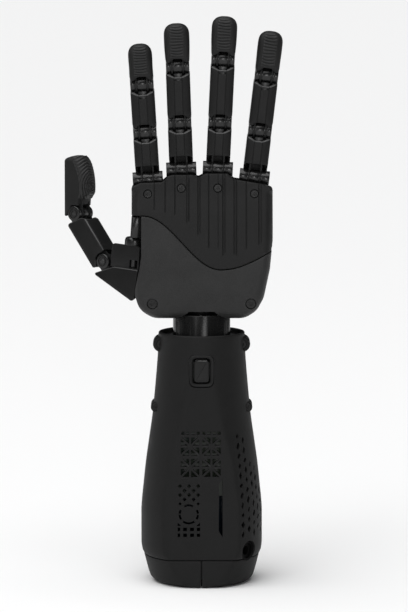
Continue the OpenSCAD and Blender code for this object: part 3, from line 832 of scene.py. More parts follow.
def resampled(line, spacing, closed=False):
    """The same line with points at even spacing, its own corners kept."""
    pairs = list(zip(line, line[1:] + line[:1] if closed else line[1:]))
    made = []
    for a, b in pairs:
        length = math.dist(a, b)
        parts = max(1, round(length / spacing))
        made += [(lerp(a[0], b[0], k / parts), lerp(a[1], b[1], k / parts)) for k in range(parts)]
    if not closed:
        made.append(line[-1])
    return made


FULL_OUTLINE = resampled(round_corners(PALM_OUTLINE, PALM_CORNERS, 8), 0.9, closed=True)


def smoothstep(a, b, t):
    t = clamped((t - a) / (b - a))
    return t * t * (3 - 2 * t)


def edge_roll(z, back=False):
    """How far in and how deep the palm's edge rolls off at this height."""
    top = smoothstep(242.5, 248.5, z)
    if back:
        return lerp(8.5, 1.0, top), lerp(9.5, 1.0, top)
    return lerp(5.0, 0.9, top), lerp(8.0, 0.8, top)


def nearest(points, line):
    """Distance from each point to the line's segments, with the height of the nearest place."""
    p = np.array(points)[:, None, :]
    a = np.array(line)[None, :, :]
    b = np.roll(np.array(line), -1, axis=0)[None, :, :]
    step = b - a
    t = np.clip(((p - a) * step).sum(2) / np.maximum((step ** 2).sum(2), 1e-9), 0, 1)
    place = a + step * t[..., None]
    gap = np.sqrt(((p - place) ** 2).sum(2))
    best = gap.argmin(1)
    rows = np.arange(len(points))
    return gap[rows, best], place[rows, best, 1]


def quarter(distance, wide, deep):
    """Drop of an elliptical roll-off at this distance from the edge."""
    t = clamped(1 - distance / wide)
    return deep * (1 - math.sqrt(max(0.0, 1 - t * t)))


def with_groove_ends(outline, grooves):
    """The outline with a point wherever a groove's line runs out through it."""
    lines = [(x + shift, bottom) for x, bottom, _ in grooves for shift in GROOVE_LINES]
    edge = []
    for a, b in zip(outline, outline[1:] + outline[:1]):
        edge.append(a)
        crossings = [
            (x, a[1] + (b[1] - a[1]) * (x - a[0]) / (b[0] - a[0])) for x, bottom in lines
            if (a[0] - x) * (b[0] - x) < 0 and a[1] > bottom
        ]
        edge += sorted(crossings, key=lambda q: math.dist(a, q))
    return edge


def spread_points(edge, small_edge, wide, lattice):
    """Rings of points close to the edge, where the face rolls off, and a lattice over the rest."""
    around = np.array(edge)
    along = np.roll(around, -1, axis=0) - np.roll(around, 1, axis=0)
    along /= np.maximum(np.linalg.norm(along, axis=1)[:, None], 1e-9)
    inward = np.stack([-along[:, 1], along[:, 0]], axis=1)
    made = []
    for share in (0.012, 0.05, 0.12, 0.22, 0.36, 0.55, 0.8):
        for i in range(0, len(edge), 1 if share < 0.3 else 2):
            reach = SMALL_EDGE if small_edge(edge[i]) else wide
            made.append(tuple(around[i] + inward[i] * reach * share))
    xs, zs = zip(*edge)
    left, bottom = min(xs), min(zs)
    for r in range(int((max(zs) - bottom) / lattice) + 1):
        for c in range(int((max(xs) - left) / lattice) + 1):
            made.append((left + (c + 0.5 * (r % 2)) * lattice, bottom + r * lattice * 0.93))
    return made


def clear_points(points, edge, grooves, holes):
    """Those inside the edge that keep clear of it, of the grooves and of the holes."""
    gaps, _ = nearest(points, edge)
    made = []
    for p, gap, inside in zip(points, gaps, inside_outline(points, edge)):
        if not inside or gap < 0.045:
            continue
        if any(abs(p[0] - x) < 0.62 and p[1] > bottom - 0.6 for x, bottom, _ in grooves):
            continue
        if any(math.dist(p, (x, z)) < r + 0.5 for x, z, r, _ in holes):
            continue
        made.append(p)
    return made


def fixed_lines(points, edge, grooves, holes):
    """Adds the points of the grooves and holes, and returns the lines that the mesh must follow."""
    lines = []
    for x, bottom, _ in grooves:
        for shift in GROOVE_LINES:
            top = max(z for px, z in edge if abs(px - x - shift) < 1e-6)
            steps = max(2, int((top - bottom) / 1.6))
            start = len(points)
            points += [(x + shift, lerp(bottom, top - 0.25, k / steps)) for k in range(steps + 1)]
            lines += [(start + k, start + k + 1) for k in range(steps)]
        points.append((x, bottom - 0.3))
    for x, z, radius, _ in holes:
        for r in (radius + 0.25, radius + 0.05, radius, radius * 0.5):
            start = len(points)
            points += circle(r, 36, (x, z))
            lines += [(start + k, start + (k + 1) % 36) for k in range(36)]
    return lines + [(i, (i + 1) % len(edge)) for i in range(len(edge))]


def sunk(x, z, grooves, holes):
    """How far the grooves and holes take the face down here."""
    down = 0.0
    for middle, bottom, depth in grooves:
        off = abs(x - middle)
        if off < 0.43 and z >= bottom - 0.01:
            ease = smoothstep(bottom - 0.01, bottom + 0.5, z)
            down += 0.6 * depth * (1 - smoothstep(0.19, 0.42, off)) * ease
    for hole_x, hole_z, radius, depth in holes:
        away = math.dist((x, z), (hole_x, hole_z))
        if away < radius + 0.2:
            down += depth * (1 - smoothstep(radius + 0.01, radius + 0.2, away))
    return down


def cover(name, outline, surface, small_edge, low, grooves=(), holes=(), lattice=1.5, wide=5.0):
    """A solid cover: a shaped face inside this (x, z) outline, upright walls, and a flat back at y = low.
    surface(points) gives the face's y for each point; grooves and holes sink it towards +Y."""
    edge = with_groove_ends(outline, grooves)
    count = len(edge)
    points = edge + clear_points(spread_points(edge, small_edge, wide, lattice), edge, grooves, holes)
    lines = fixed_lines(points, edge, grooves, holes)
    spots, _, faces, origin, _, _ = delaunay_2d_cdt([Vector(p) for p in points], lines, [], 0, 1e-5)
    flat = [(p.x, p.y) for p in spots]
    verts = [(x, y + sunk(x, z, grooves, holes), z) for (x, z), y in zip(flat, surface(flat))]
    middles = [tuple(sum(flat[i][k] for i in f) / len(f) for k in (0, 1)) for f in faces]
    kept = [f for f, inside in zip(faces, inside_outline(middles, edge)) if inside]
    now = {old: new for new, olds in enumerate(origin) for old in olds if old < count}
    base = len(verts)
    verts += [(x, low, z) for x, z in edge]
    for i in range(count):
        j = (i + 1) % count
        kept.append((now[i], now[j], base + j, base + i))
    kept.append(tuple(range(base, base + count)))
    return new_object(name, verts, kept)


def inside_outline(points, outline):
    """Whether each point is inside the outline."""
    p = np.array(points)
    a = np.array(outline)
    b = np.roll(a, -1, axis=0)
    hit = np.zeros(len(p), bool)
    for (ax, az), (bx, bz) in zip(a, b):
        if az == bz:
            continue
        crosses = (az > p[:, 1]) != (bz > p[:, 1])
        x = ax + (p[:, 1] - az) * (bx - ax) / (bz - az)
        hit ^= crosses & (p[:, 0] < x)
    return hit


def front_surface(points, seam_edge, thenar):
    """y of the palm's front face, with its rolled edge, the seam's soft edge and the thumb-side swelling."""
    gap, heights = nearest(points, FULL_OUTLINE)
    seam_gap, _ = nearest(points, seam_edge)
    made = []
    for (x, z), d, edge_z, s in zip(points, gap, heights, seam_gap):
        wide, deep = edge_roll(edge_z)
        y = smooth_at(PALM_FRONT, z) + quarter(d, wide, deep) + quarter(s, 0.55, 0.55)
        if thenar:
            swell = math.exp(-(((x + 23) / 13) ** 2 + ((z - 192) / 20) ** 2))
            y -= 1.5 * swell * smoothstep(0, 9, d) + 0.15
        made.append(y)
    return made


def first_from(outline, place):
    """The closed outline, starting at its point nearest to this place."""
    start = min(range(len(outline)), key=lambda i: math.dist(outline[i], place))
    return outline[start:] + outline[:start]


def upper_cover(seam):
    """Its outline runs along the seam to the right, then up, over the top and down the left side."""
    right_z = seam_z(44) + SEAM_GAP
    above = resampled([(-43.3, 230 + SEAM_GAP)] + [(x, z + SEAM_GAP) for x, z in seam], 0.9)
    rim = [p for p in first_from(FULL_OUTLINE, (43.6, right_z))
           if p[1] > right_z + 0.5 and not (p[0] < -40 and p[1] < 231)]
    return cover(
        "upper", above + rim, lambda points: front_surface(points, above + above[::-1], False),
        lambda p: p[1] < seam_z(p[0]) + 1.5 and p[0] < 42.5 or p[1] > 246.5, SPLIT_Y - 0.15,
        GROOVES, [(x, z, 2.55, 1.5) for x, z in SCREWS],
    )


def lower_cover(seam):
    """Its outline runs back along the seam, down the thumb's cut, along the bottom and up on the right."""
    below = [(x, z - SEAM_GAP) for x, z in reversed(seam)]
    below = resampled(below + [(-37.2, 230 - SEAM_GAP), (-37.2, 205), (-38.3, 197)], 0.9)
    bottom = [p for p in FULL_OUTLINE if p[1] < 181 or (p[0] > 0 and p[1] < seam_z(44) - SEAM_GAP - 0.5)]
    return cover(
        "lower", below + first_from(bottom, (-42.4, 181)),
        lambda points: front_surface(points, below + below[::-1], True),
        lambda p: p[1] > 195 and (p[0] < -36 or p[1] > seam_z(p[0]) - 1.5), SPLIT_Y - 0.15,
        (), [(x, z, 3.2, 1.9) for x, z in BOLTS],
    )


def back_surface(points):
    """y of the palm's back face, with its rolled edge."""
    made = []
    for (_, z), gap, edge_z in zip(points, *nearest(points, FULL_OUTLINE)):
        wide, deep = edge_roll(edge_z, True)
        made.append(smooth_at(PALM_BACK, z) - quarter(gap, wide, deep))
    return made


def back_cover():
    return cover("back", FULL_OUTLINE, back_surface, lambda p: p[1] > 246.5, SPLIT_Y + 0.15,
                 lattice=2.2, wide=8.5)


def palm_covers():
    seam = [(x, seam_z(x)) for x in (SEAM_LEFT + 0.8 * k for k in range(101)) if x < 43.2]
    trough = [(-9.4, 236), (-6.6, 249), (-6.2, 262), (6.3, 262), (9.2, 236)]
    for piece, node, finish in (
        (upper_cover(seam), "upper_palm_cover", FINISH["cover_black"]),
        (lower_cover(seam), "lower_palm_cover", PALM_SPARKLE_PAINTED_SHEEN),
        (back_cover(), "back_hand_cover", FINISH["cover_black"]),
    ):
        for tool in (
            prism("trough", trough, -41.1, 41.8, 0, 1, along_x),
            moved(cylinder_tool("cavity", 12.4, (0, 0, -36), (0, 0, 11.1), 96), THUMB),
            moved(cylinder_tool("lug", 9.0, (0, 0, 11.0), (0, 0, 25.1), 64), THUMB),
            cylinder_tool("wrist", 18.1, (0, 0, 160), (0, 0, 171), 96),
        ):
            boolean(piece, [tool])
        settle(piece, node, finish, crease=38)


# ---- fingers, in the finger's own frame: hinge along X, palm side at -Y, bone along Z ----

BARREL_R = 4.8
PLATE_R = 5.2
PALMAR = 5.6
DORSAL = 7.0
PROXIMAL_LEN = 29.5
MIDDLE_LEN = {"index": 29.5, "middle": 34.5, "ring": 38.5, "pinky": 34.0}
TIP_WIDTH = {"index": 15.0, "middle": 16.0, "ring": 16.0, "pinky": 15.4}
TIP_LEN = {"index": 25.0, "middle": 26.5, "ring": 26.45, "pinky": 27.45}
BONE_W = 14.8
HINGE_ROOM = 5.65


def painted(obj, index):
    """Marks the mesh's faces with this material, for pieces of more than one finish."""
    for polygon in obj.data.polygons:
        polygon.material_index = index
    return obj


def mirrored(half):
    """A closed outline from its half with x from 0 upwards, first and last points on the middle line."""
    return half + [(-x, y) for x, y in reversed(half[1:-1])]


def bone_section(w, front, back):
    """Section of a bone: flat strip between two fine grooves, two facets, flat sides and a crowned back."""
    h = w / 2
    return mirrored([
        (0, -front), (2.15, -front), (2.28, -front + 0.4), (2.6, -front + 0.4), (2.75, -front + 0.05),
        (h - 1.9, -front + 0.55), (h - 0.75, -front + 1.0), (h - 0.2, -front + 1.6), (h, -front + 2.6), (h, 0),
        (h, back - 2.6), (h - 0.25, back - 1.5), (h - 1.0, back - 0.6), (h - 2.4, back - 0.1), (2.0, back),
        (0, back),
    ])


def interpolated(pairs, t):
    """Straight-line interpolation in (t, value) pairs."""
    if t <= pairs[0][0]:
        return pairs[0][1]
    for a, b in zip(pairs, pairs[1:]):
        if t <= b[0]:
            return lerp(a[1], b[1], (t - a[0]) / (b[0] - a[0]))
    return pairs[-1][1]


def hinge_relief(y):
    """Height below which the space round the hinge is kept free."""
    return math.sqrt(max(0.0, HINGE_ROOM ** 2 - y * y))


def lower_edge(x, y, start, thick, drop):
    """Height of a bone's or tip's lower edge: round the hinge, with a lip in front."""
    lip = interpolated([(-PALMAR, start), (-1.5, start - 0.8), (thick - 1.2, 0.5), (thick, 1.4)], y)
    if y < -3:
        lip -= drop * smoothstep(3.2, 5.6, abs(x))
    return max(lip, hinge_relief(y))


def upper_edge(x, y, length, thick):
    """Height of a bone's upper rim: low and flat in front of the hinge, rising to the sides and the back."""
    rim = interpolated([(-PALMAR, -6.45), (-3.4, -6.45), (-2.0, -4.6), (thick - 1.5, -2.7), (thick, -3.5)], y)
    if y < -2.0:
        rim = max(rim, -6.45 + 2.0 * clamped((abs(x) - 2.6) / 4.4))
    return length + min(rim, -2.7)


def shrunk_section(section, d):
    """The section drawn in towards its middle by about d."""
    xs, ys = [p[0] for p in section], [p[1] for p in section]
    hx, cy = max(xs), (max(ys) + min(ys)) / 2
    hy = max(ys) - cy
    return [(x * (hx - d) / hx, cy + (y - cy) * (hy - d) / hy) for x, y in section]


def stacked(section, stations):
    """Rings of this section. Each station has how far it is drawn in, and a function for its height."""
    return [
        [(ix, iy, height(x, y)) for (ix, iy), (x, y) in zip(shrunk_section(section, inwards), section)]
        for inwards, height in stations
    ]


def level(z):
    """A flat station for stacked."""
    return lambda x, y: z


def bone_body(name, w, length, start, front, back, drop):
    section = resampled(bone_section(w, front, back), 1.3, closed=True)

    def low(lift):
        return lambda x, y: lower_edge(x, y, start, back, drop) + lift

    def high(lift):
        return lambda x, y: upper_edge(x, y, length, back) - lift

    def between(t):
        return lambda x, y: lerp(low(0.5)(x, y), high(0.75)(x, y), t)

    floor, socket = level(max(start + 0.9, 6.4)), level(length - 11)
    made = skin(name, stacked(section, [
        (3.4, floor), (2.2, floor), (1.7, low(0.35)), (1.2, low(0.0)), (0.45, low(0.0)), (0.14, low(0.13)),
        (0.0, low(0.5)), (0.0, between(0.12)), (0.0, between(0.3)), (0.0, between(0.5)), (0.0, between(0.7)),
        (0.0, between(0.88)), (0.0, high(0.75)), (0.12, high(0.5)), (0.62, high(0.0)), (1.3, high(0.0)),
        (1.8, high(0.35)), (2.6, socket), (3.6, socket),
    ]))
    # Upward-facing faces of the upper rim get the lighter grey: a painted highlight for light from above.
    for polygon in made.data.polygons:
        if polygon.center.z > length - 7.6 and 0.25 < polygon.normal.z < 0.995:
            polygon.material_index = 2
    return made


def turned_x(name, profile, steps=48):
    """A solid of revolution about X from a closed profile of (x, radius)."""
    rings = []
    for i in range(steps + 1):
        a = 2 * math.pi * i / steps
        rings.append([(x, r * math.cos(a), r * math.sin(a)) for x, r in profile])
    return skin(name, rings, caps=False)


def barrel(x0, x1, neck, round_end=0.0):
    """One hinge barrel on its neck, with a bore, softened ends and a rounder outer end where asked."""
    r = BARREL_R
    low = [(x0, 1.6), (x0, r - 0.4), (x0 + 0.12, r - 0.12), (x0 + 0.4, r)]
    high = [(x1 - 0.4, r), (x1 - 0.12, r - 0.12), (x1, r - 0.4)]
    if round_end:
        high = [(x1 - round_end, r)]
        for a in (k * math.pi / 10 for k in range(1, 6)):
            high.append((x1 - round_end + round_end * math.sin(a), r - round_end + round_end * math.cos(a)))
    face = [(x1, 2.95), (x1 - 0.35, 2.85), (x1 - 0.35, 2.5), (x1, 2.4)] if x0 > 0 else []
    drum = turned_x("drum", low + high + face + [(x1, 1.6), low[0]])
    outline = [(-1.6, -neck - 2), (4.4, -neck - 2), (4.4, 0), (-1.6, 0)]
    stem = prism("stem", outline, x0 + 0.05, x1 - 0.05 - round_end * 0.5, 0.25, 2, along_x)
    return [painted(drum, 1), painted(stem, 1)]


def barrels(outer, neck, round_end=0.0):
    made = barrel(-2.6, 2.6, neck)
    made += barrel(4.4, outer, neck, round_end)
    for part in barrel(4.4, outer, neck, round_end):
        part.data.transform(Matrix.Scale(-1, 4, (1, 0, 0)))
        part.data.flip_normals()
        made.append(part)
    return made


def plates(reach, cut_back=False):
    """The two thin plates that turn between the barrels, with their washers.
    cut_back is for those that bend over the palm's edge."""
    made = []
    turns = [math.radians(lerp(32, -212, k / 40)) for k in range(41)]
    front = [(-3.9, 3.2), (-2.5, 4.6), (-2.5, reach)] if cut_back else [(-4.4, reach)]
    outline = [(4.4, reach)] + [(PLATE_R * math.cos(a), PLATE_R * math.sin(a)) for a in turns] + front
    for low, high in ((-4.1, -2.9), (2.9, 4.1)):
        made.append(prism("plate", outline, low, high, 0.22, 2, along_x))
        left, right = low - 0.26, high + 0.26
        profile = [(left, 1.6), (left, 4.45), (right, 4.45), (right, 1.6), (left, 1.6)]
        made.append(painted(turned_x("washer", profile), 1))
    return made


def finger_bone(finger, part, joint, length, start):
    node = f"{finger}_{part}"
    body = bone_body("body", BONE_W, length, start, PALMAR, DORSAL, 0.0 if part == "proximal" else 1.9)
    if part == "middle":
        slot = rounded_box_outline(4.2, 0.95, 0.3, (0, length - 8.35), 3)
        boolean(body, [prism("slot", slot, -9, -PALMAR + 2.6, 0)])
    parts = [body] + plates(start + 2, cut_back=part == "proximal")
    top = Matrix.Translation((0, 0, length))
    parts += [moved(b, top) for b in barrels(7.2, 9)]
    made = moved(joined(node, parts), hinge_frame(joint))
    settle(made, node, crease=30, extra=(BARREL, PAINTED_HIGHLIGHT_EDGE))


def tip_section(hw, front, back, corner):
    """Rounded section of a fingertip, from x = -hw to hw, with three points along each flat."""
    corner = min(corner, hw * 0.98, (front + back) * 0.49)
    arcs = []
    for x, y, first in ((-hw, -front, 180), (hw, -front, 270), (hw, back, 0), (-hw, back, 90)):
        x += corner if x < 0 else -corner
        y += corner if y < 0 else -corner
        turns = [math.radians(first + 90 * k / 7) for k in range(8)]
        arcs.append([(x + corner * math.cos(a), y + corner * math.sin(a)) for a in turns])
    made = []
    for arc, following in zip(arcs, arcs[1:] + arcs[:1]):
        (x0, y0), (x1, y1) = arc[-1], following[0]
        made += arc + [(lerp(x0, x1, k / 4), lerp(y0, y1, k / 4)) for k in (1, 2, 3)]
    return made


def tip_corner(z):
    """Corner radius of a fingertip's section at this height."""
    return lerp(2.6, 3.8, smoothstep(8, 20, z))


def tip_shape(width, length, z):
    """Half width, front and back of a fingertip at this height."""
    full = width / 2 - 0.13
    half = smooth_at([(0, 7.25), (4, 7.35), (10, full - 0.13), (15, full), (18, full)], z)
    dome = length - 7.6
    narrow = rounding(clamped((z - dome) / (length - dome)), 2.5)
    depth = rounding(clamped((z - length + 11.5) / 11.5), 2.1)
    return half * narrow, (PALMAR + 0.35) * depth, 0.35 + (DORSAL - 0.5) * depth


def tip_body(name, width, length):
    base = tip_section(*tip_shape(width, length, 6), corner=2.6)

    def low(lift):
        return lambda x, y: lower_edge(x, y, 4.6, DORSAL - 0.5, 2.2) + lift

    rings = stacked(base, [
        (3.2, level(6.6)), (1.9, level(6.6)), (1.4, low(0.3)), (0.5, low(0.0)), (0.15, low(0.15)),
        (0.0, low(0.55)),
    ])
    for down in (18, 16.5, 14.5, 12.5, 10.5, 9, 7.5, 6, 4.7, 3.6, 2.7, 1.9, 1.3, 0.8, 0.45, 0.2, 0.06):
        z = length - down
        rings.append([(x, y, z) for x, y in tip_section(*tip_shape(width, length, z), tip_corner(z))])
    return skin(name, rings)


def two_sided(name, outer, inner, rows, columns):
    """A solid from two grids of points, joined round their rims."""
    width, total = columns + 1, len(outer)
    faces = []
    for r in range(rows):
        for c in range(columns):
            i = r * width + c
            faces.append((i, i + 1, i + width + 1, i + width))
            faces.append((total + i, total + i + width, total + i + width + 1, total + i + 1))
    rim = list(range(width)) + [r * width + columns for r in range(1, rows + 1)]
    rim += [rows * width + c for c in range(columns - 1, -1, -1)] + [r * width for r in range(rows - 1, 0, -1)]
    faces += [(a, total + a, total + b, b) for a, b in zip(rim, rim[1:] + rim[:1])]
    return new_object(name, outer + inner, faces)


def ridged_pad(name, half, z0, z1, front, ridges):
    """The grip pad: a thin raised panel with cross ridges, following the fingertip's front.
    front(x, z) gives y and the backward slope there."""
    columns, rows = 18, ridges * 12
    outer, inner = [], []
    for r in range(rows + 1):
        t = r / rows
        z = lerp(z0, z1, t)
        for c in range(columns + 1):
            u = lerp(-1, 1, c / columns)
            edge = min(1.0, (1 - abs(u)) * 5.0) * min(1.0, t * 14, (1 - t) * 14)
            bend = 0.2 * (1 - u * u) + 0.09 * math.sin(2.6 * u + 9 * t)
            phase = (t * ridges + bend) % 1.0
            groove = max(0.0, 1 - abs(phase - 0.5) / 0.26)
            fade = smoothstep(0, 0.05, t) * smoothstep(0, 0.04, 1 - t) * smoothstep(0, 0.22, 1 - abs(u))
            proud = 0.42 * edge ** 0.5 - 0.85 * groove * fade - 0.05
            y, slope = front(u * half, z)
            outer.append((u * half, y - proud, z + slope * proud))
            inner.append((u * half * 0.97, y + 1.6, z - slope * 1.6))
    return two_sided(name, outer, inner, rows, columns)


def fingertip(finger):
    width, length = TIP_WIDTH[finger], TIP_LEN[finger]
    place = hinge_frame(f"{finger}_dip")
    parts = [tip_body("body", width, length)] + plates(6.6)
    made = moved(joined("tip", parts), place)
    settle(made, f"{finger}_tip", crease=40, extra=(BARREL,))

    def front(x, z):
        hw, near, _ = tip_shape(width, length, z)
        above = tip_shape(width, length, min(z + 0.2, length - 0.05))[1]
        slope = (near - above) / 0.2
        corner = tip_corner(z)
        over = max(0.0, abs(x) - (hw - corner))
        curl = corner - math.sqrt(max(0.0, corner ** 2 - min(over, corner) ** 2))
        return -near + curl, min(slope, 1.2) * 0.7

    pad = moved(ridged_pad("pad", 4.3, 5.4, length - 1.4, front, 11), place)
    settle(pad, f"{finger}_pad", crease=60)


def fingers():
    for finger in FINGERS:
        finger_bone(finger, "proximal", f"{finger}_knuckle", PROXIMAL_LEN, 8.7)
        finger_bone(finger, "middle", f"{finger}_pip", MIDDLE_LEN[finger], 4.6)
        fingertip(finger)


# ---- thumb, in its own frame: hinges along X, outwards at +Y ----

THUMB_W = 14.4
THUMB_LEN = 36.9
THUMB_DORSAL = 8.8
THUMB_TIP_LEN = 36.5
THUMB_PAD = 9.0
BONE_LEAN = 42.5
TIP_LEAN = 5.0


def thumb_bracket():
    """Two side plates on a web, the turned hub and the barrels of the first hinge."""
    front = [(24.4, -13.9), (9.9, -8.3), (-9, -8.2), (-7.6, -26), (-5, -28), (24, -15.3)]
    wall = [(13.0, -8.6), (13.0, 3.8), (12.4, 5.6), (10.8, 6.2), (-7.4, 6.2), (-8.6, 5.2), (-8.9, -8.6)]
    back = [(24.4, -13.9), (14, -4), (13, 4.4), (-8, 5.0), (-8, -25), (-5, -28), (24, -15.3)]
    web = [(16, -17), (12.5, -9.4), (10.5, -6.4), (9, 1.5), (4.4, 1.5), (2, -9), (2, -24)]
    front_plate = prism("front_plate", round_corners(front, 1.2, 4), -7.2, -4.4, 0.9, 4, along_x)
    # Faces of the front plate's top chamfer that face up and outwards get the lighter grey: a painted highlight.
    for polygon in front_plate.data.polygons:
        if 0.25 < polygon.normal.z < 0.97 and polygon.normal.x < -0.1:
            polygon.material_index = 2
    side_wall = prism("wall", round_corners(wall, 0.6, 3), -6.2, -4.6, 0.35, 2, along_x)
    window = rounded_box_outline(6.0, 5.2, 0.6, (-4.7, -5.2), 3)
    boolean(side_wall, [prism("window", window, -8, -4, 0, 2, along_x)])
    body = joined("bracket", [
        front_plate,
        side_wall,
        prism("back_plate", round_corners(back, 1.5, 4), 4.4, 7.2, 0.55, 3, along_x),
        prism("web", round_corners(web, 0.8, 3), -5.0, 5.0, 0.2, 2, along_x),
    ])
    hub_profile = [(3.05, -24.6), (4.2, -24.6), (4.4, -24.2), (4.4, -1.0), (6.0, 0.6), (6.2, 1.2), (6.2, 8.6),
                   (6.1, 9.4), (5.7, 10.3), (5.1, 10.9), (4.2, 11.1), (3.05, 11.1)]
    hub = painted(turned("hub", hub_profile), 1)
    mcp = Matrix.Translation((0, 19.1, -6.2)) @ Matrix.Rotation(math.radians(-45), 4, "X")
    hinge = [moved(part, mcp) for part in barrels(6.9, 9, 0.8)]
    made = moved(joined("bracket", [body, hub] + hinge), THUMB)
    settle(made, "thumb_bracket", crease=36, extra=(BARREL, PAINTED_HIGHLIGHT_EDGE))


def thumb_section(w, front, back):
    """Section of the thumb's bone: broad flats with a bevel along each palm-side corner, which thumb_link paints
    lighter as a painted highlight.
    """
    h = w / 2
    return mirrored([
        (0, -front), (h - 2.2, -front), (h - 0.9, -front + 0.35), (h - 0.35, -front + 0.9), (h, -front + 2.0),
        (h, 0), (h, back - 1.2), (h - 0.35, back - 0.45), (h - 1.0, back - 0.1), (h - 1.8, back), (0, back),
    ])


def thumb_link():
    section = resampled(thumb_section(THUMB_W, PALMAR, THUMB_DORSAL), 1.3, closed=True)
    back = THUMB_DORSAL

    def low(lift):
        return lambda x, y: lower_edge(x, y, 5.2, back, 0.0) + lift

    def high(lift):
        rim = [(-PALMAR, -8.2), (-3.4, -5.6), (back - 1.5, -2.6), (back, -3.6)]
        return lambda x, y: THUMB_LEN + interpolated(rim, y) - lift

    floor, socket = level(6.9), level(THUMB_LEN - 9.4)
    body = skin("body", stacked(section, [
        (3.2, floor), (1.8, floor), (1.4, low(0.3)), (0.5, low(0.0)), (0.15, low(0.15)), (0.0, low(0.5)),
        (0.0, level(12.2)), (0.0, level(18.0)), (0.0, high(0.55)), (0.15, high(0.15)), (0.5, high(0.0)),
        (1.5, high(0.0)), (1.9, high(0.4)), (2.7, socket), (3.8, socket),
    ]))
    # The palm-side bevels and the upward-facing rim get the lighter grey: a painted highlight.
    for polygon in body.data.polygons:
        slanted = 0.45 < abs(polygon.normal.x) < 0.95 and polygon.normal.y < -0.45
        rim = polygon.center.z > THUMB_LEN - 9 and 0.25 < polygon.normal.z < 0.995
        if slanted or rim:
            polygon.material_index = 2
    parts = [body] + plates(7.2)
    top = Matrix.Translation((0, 0, THUMB_LEN))
    parts += [moved(part, top) for part in barrels(7.2, 9, 0.8)]
    made = moved(joined("link", parts), thumb_frame("thumb_flexion", BONE_LEAN))
    settle(made, "thumb_link", crease=30, extra=(BARREL, PAINTED_HIGHLIGHT_EDGE))


def thumb_tip_edges(z):
    """Back, front and half width of the thumb's tip at this height."""
    round_off = rounding(clamped((z - (THUMB_TIP_LEN - 19)) / 19), 2.2)
    top = clamped((z - (THUMB_TIP_LEN - 3.2)) / 3.2)
    back = interpolated([(-2.2, 6.8), (4, 7.4), (THUMB_TIP_LEN, 7.4)], z) * (1 - 0.85 * top ** 2.2)
    swell = [(-2, -0.5), (6.2, 3.8), (9.5, 5.2), (13.5, THUMB_PAD - 0.3), (17.5, THUMB_PAD), (40, THUMB_PAD)]
    crown = clamped((z - (THUMB_TIP_LEN - 5.0)) / 5.0)
    return back, smooth_at(swell, z) * round_off, THUMB_W / 2 * rounding(crown, 2.4)


def thumb_crease(z):
    """How far back the grip side reaches over the flat sides: further towards the top."""
    back, front, _ = thumb_tip_edges(z)
    rise = clamped((z - 15.0) / (THUMB_TIP_LEN - 15.0))
    return min(-2.2 + 8.8 * rise ** 1.7, back - 1.3) if front > 3.2 or rise > 0 else -0.35 * front


def thumb_tip_section(z, steps=22):
    """Flat back and sides, with a crisp edge to the half-round pad side."""
    back, front, h = thumb_tip_edges(z)
    waist = -thumb_crease(z)
    middle = lerp(-waist, back - 1.0, 0.5)
    points = [(h, -waist), (h, middle), (h, back - 1.0), (h - 0.35, back - 0.3), (h - 1.0, back)]
    points = [(max(x, 0.02), y) for x, y in points]
    points += [(0, back)] + [(-x, y) for x, y in reversed(points)]
    for k in range(1, steps):
        a = math.pi * k / steps
        points.append((-h * 0.985 * math.cos(a), -waist - (front - waist) * math.sin(a) ** 0.85))
    return points


def thumb_ridge(x, z, front, h):
    """How far the grip surface stands out: nested ovals round the middle of the pad."""
    across = x / max(h, 0.1)
    along = (z - 17.0) / 12.5
    distance = math.sqrt((across * 0.9) ** 2 + along ** 2)
    phase = (distance * 7.5) % 1.0
    wave = 1 - max(0.0, 1 - abs(phase - 0.5) / 0.28)
    fade = smoothstep(1.02, 0.84, abs(across)) * smoothstep(7.0, 10.0, z)
    fade *= smoothstep(0.0, 0.25, front / THUMB_PAD)
    return 0.6 * wave * fade


def thumb_tip():
    place = thumb_frame("thumb_tip_flexion", TIP_LEAN)
    base = thumb_tip_section(7.0)

    def low(lift):
        def height(x, y):
            line = interpolated([(-9, 8), (-5, 6.2), (5.6, -1.0), (6.8, -2.0), (7.4, -1.2)], y)
            return max(line, hinge_relief(y) if y < 5.2 else line) + lift
        return height

    rings = stacked(base, [
        (3.4, level(7.2)), (2.0, level(7.2)), (1.5, low(0.4)), (0.5, low(0.0)), (0.15, low(0.15)),
        (0.0, low(0.55)),
    ])
    levels = [8.6 + 0.42 * k for k in range(57)]
    levels += [32.6, 33.2, 33.8, 34.3, 34.8, 35.2, 35.55, 35.85, 36.1, 36.3, 36.42]
    rings += [[(x, y, z) for x, y in thumb_tip_section(z)] for z in levels]
    body = moved(joined("tip", [skin("body", rings)] + plates(7.4)), place)
    settle(body, "thumb_tip", crease=30, extra=(BARREL,))
    settle(moved(thumb_grip("grip"), place), "thumb_pad", crease=70)


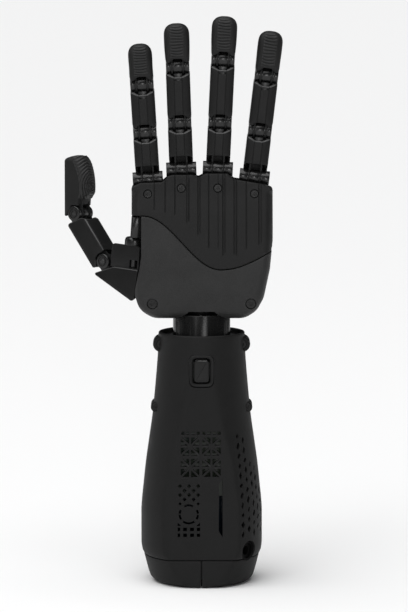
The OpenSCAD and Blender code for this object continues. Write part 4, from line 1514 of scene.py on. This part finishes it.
def thumb_grip(name, columns=44, rows=150):
    """The ridged rubber over the half-round side of the tip."""
    outer, inner = [], []
    z0, z1 = 8.9, THUMB_TIP_LEN - 0.55
    for r in range(rows + 1):
        z = lerp(z0, z1, r / rows)
        _, front, h = thumb_tip_edges(z)
        waist = -thumb_crease(z)
        slope = (thumb_tip_edges(min(z + 0.2, THUMB_TIP_LEN - 0.05))[1] - front) / -0.2
        lift = min(max(slope, 0), 2.0)
        size = math.hypot(1, lift)
        for c in range(columns + 1):
            a = lerp(0.08, 0.92, c / columns) * math.pi
            x = -h * 0.985 * math.cos(a)
            y = -waist - (front - waist) * math.sin(a) ** 0.85
            edge = smoothstep(0, 0.05, c / columns) * smoothstep(0, 0.05, 1 - c / columns)
            edge *= smoothstep(0, 0.03, r / rows) * smoothstep(0, 0.015, 1 - r / rows)
            proud = -0.15 + (0.32 + thumb_ridge(x, z, front, h)) * edge
            nx, ny = -math.cos(a) * 0.8, -math.sin(a)
            n = math.hypot(nx, ny)
            outer.append((x + nx / n * proud, y + ny / n * proud / size, z + lift * proud / size))
            inner.append((x * 0.86, y + 1.5 * math.sin(a) + 0.2, z - 0.5 * lift))
    return two_sided(name, outer, inner, rows, columns)


# ---- build ----

def soften(node):
    """Rounds a CAD node's hard edges a little, without changing its mesh."""
    weld = node.modifiers.new("weld", "WELD")
    weld.merge_threshold = 0.000002
    flat = node.modifiers.new("flat", "DECIMATE")
    flat.decimate_type = "DISSOLVE"
    flat.angle_limit = math.radians(1.5)
    bevel = node.modifiers.new("bevel", "BEVEL")
    bevel.width = 0.0003
    bevel.segments = 2
    bevel.limit_method = "ANGLE"
    bevel.angle_limit = math.radians(38)
    bevel.harden_normals = True
    bevel.use_clamp_overlap = True


studio()
for name, node in NODES.items():
    node.data.materials.clear()
    node.data.materials.append(FINISH[SLOT_OF[name]])
    soften(node)
NODES["wrist_shaft"].data.materials[0] = SATIN
NODES["palm_frame"].data.materials[0] = BARREL
# The charging port is painted near black as shade in its recess.
NODES["charge_port"].data.materials[0] = RECESS_PAINTED_SHADE
for front in (True, False):
    forearm_shell(front)
for side in (-1, 1):
    base_cap(side)
window_parts()
palm_covers()
fingers()
thumb_bracket()
thumb_link()
thumb_tip()
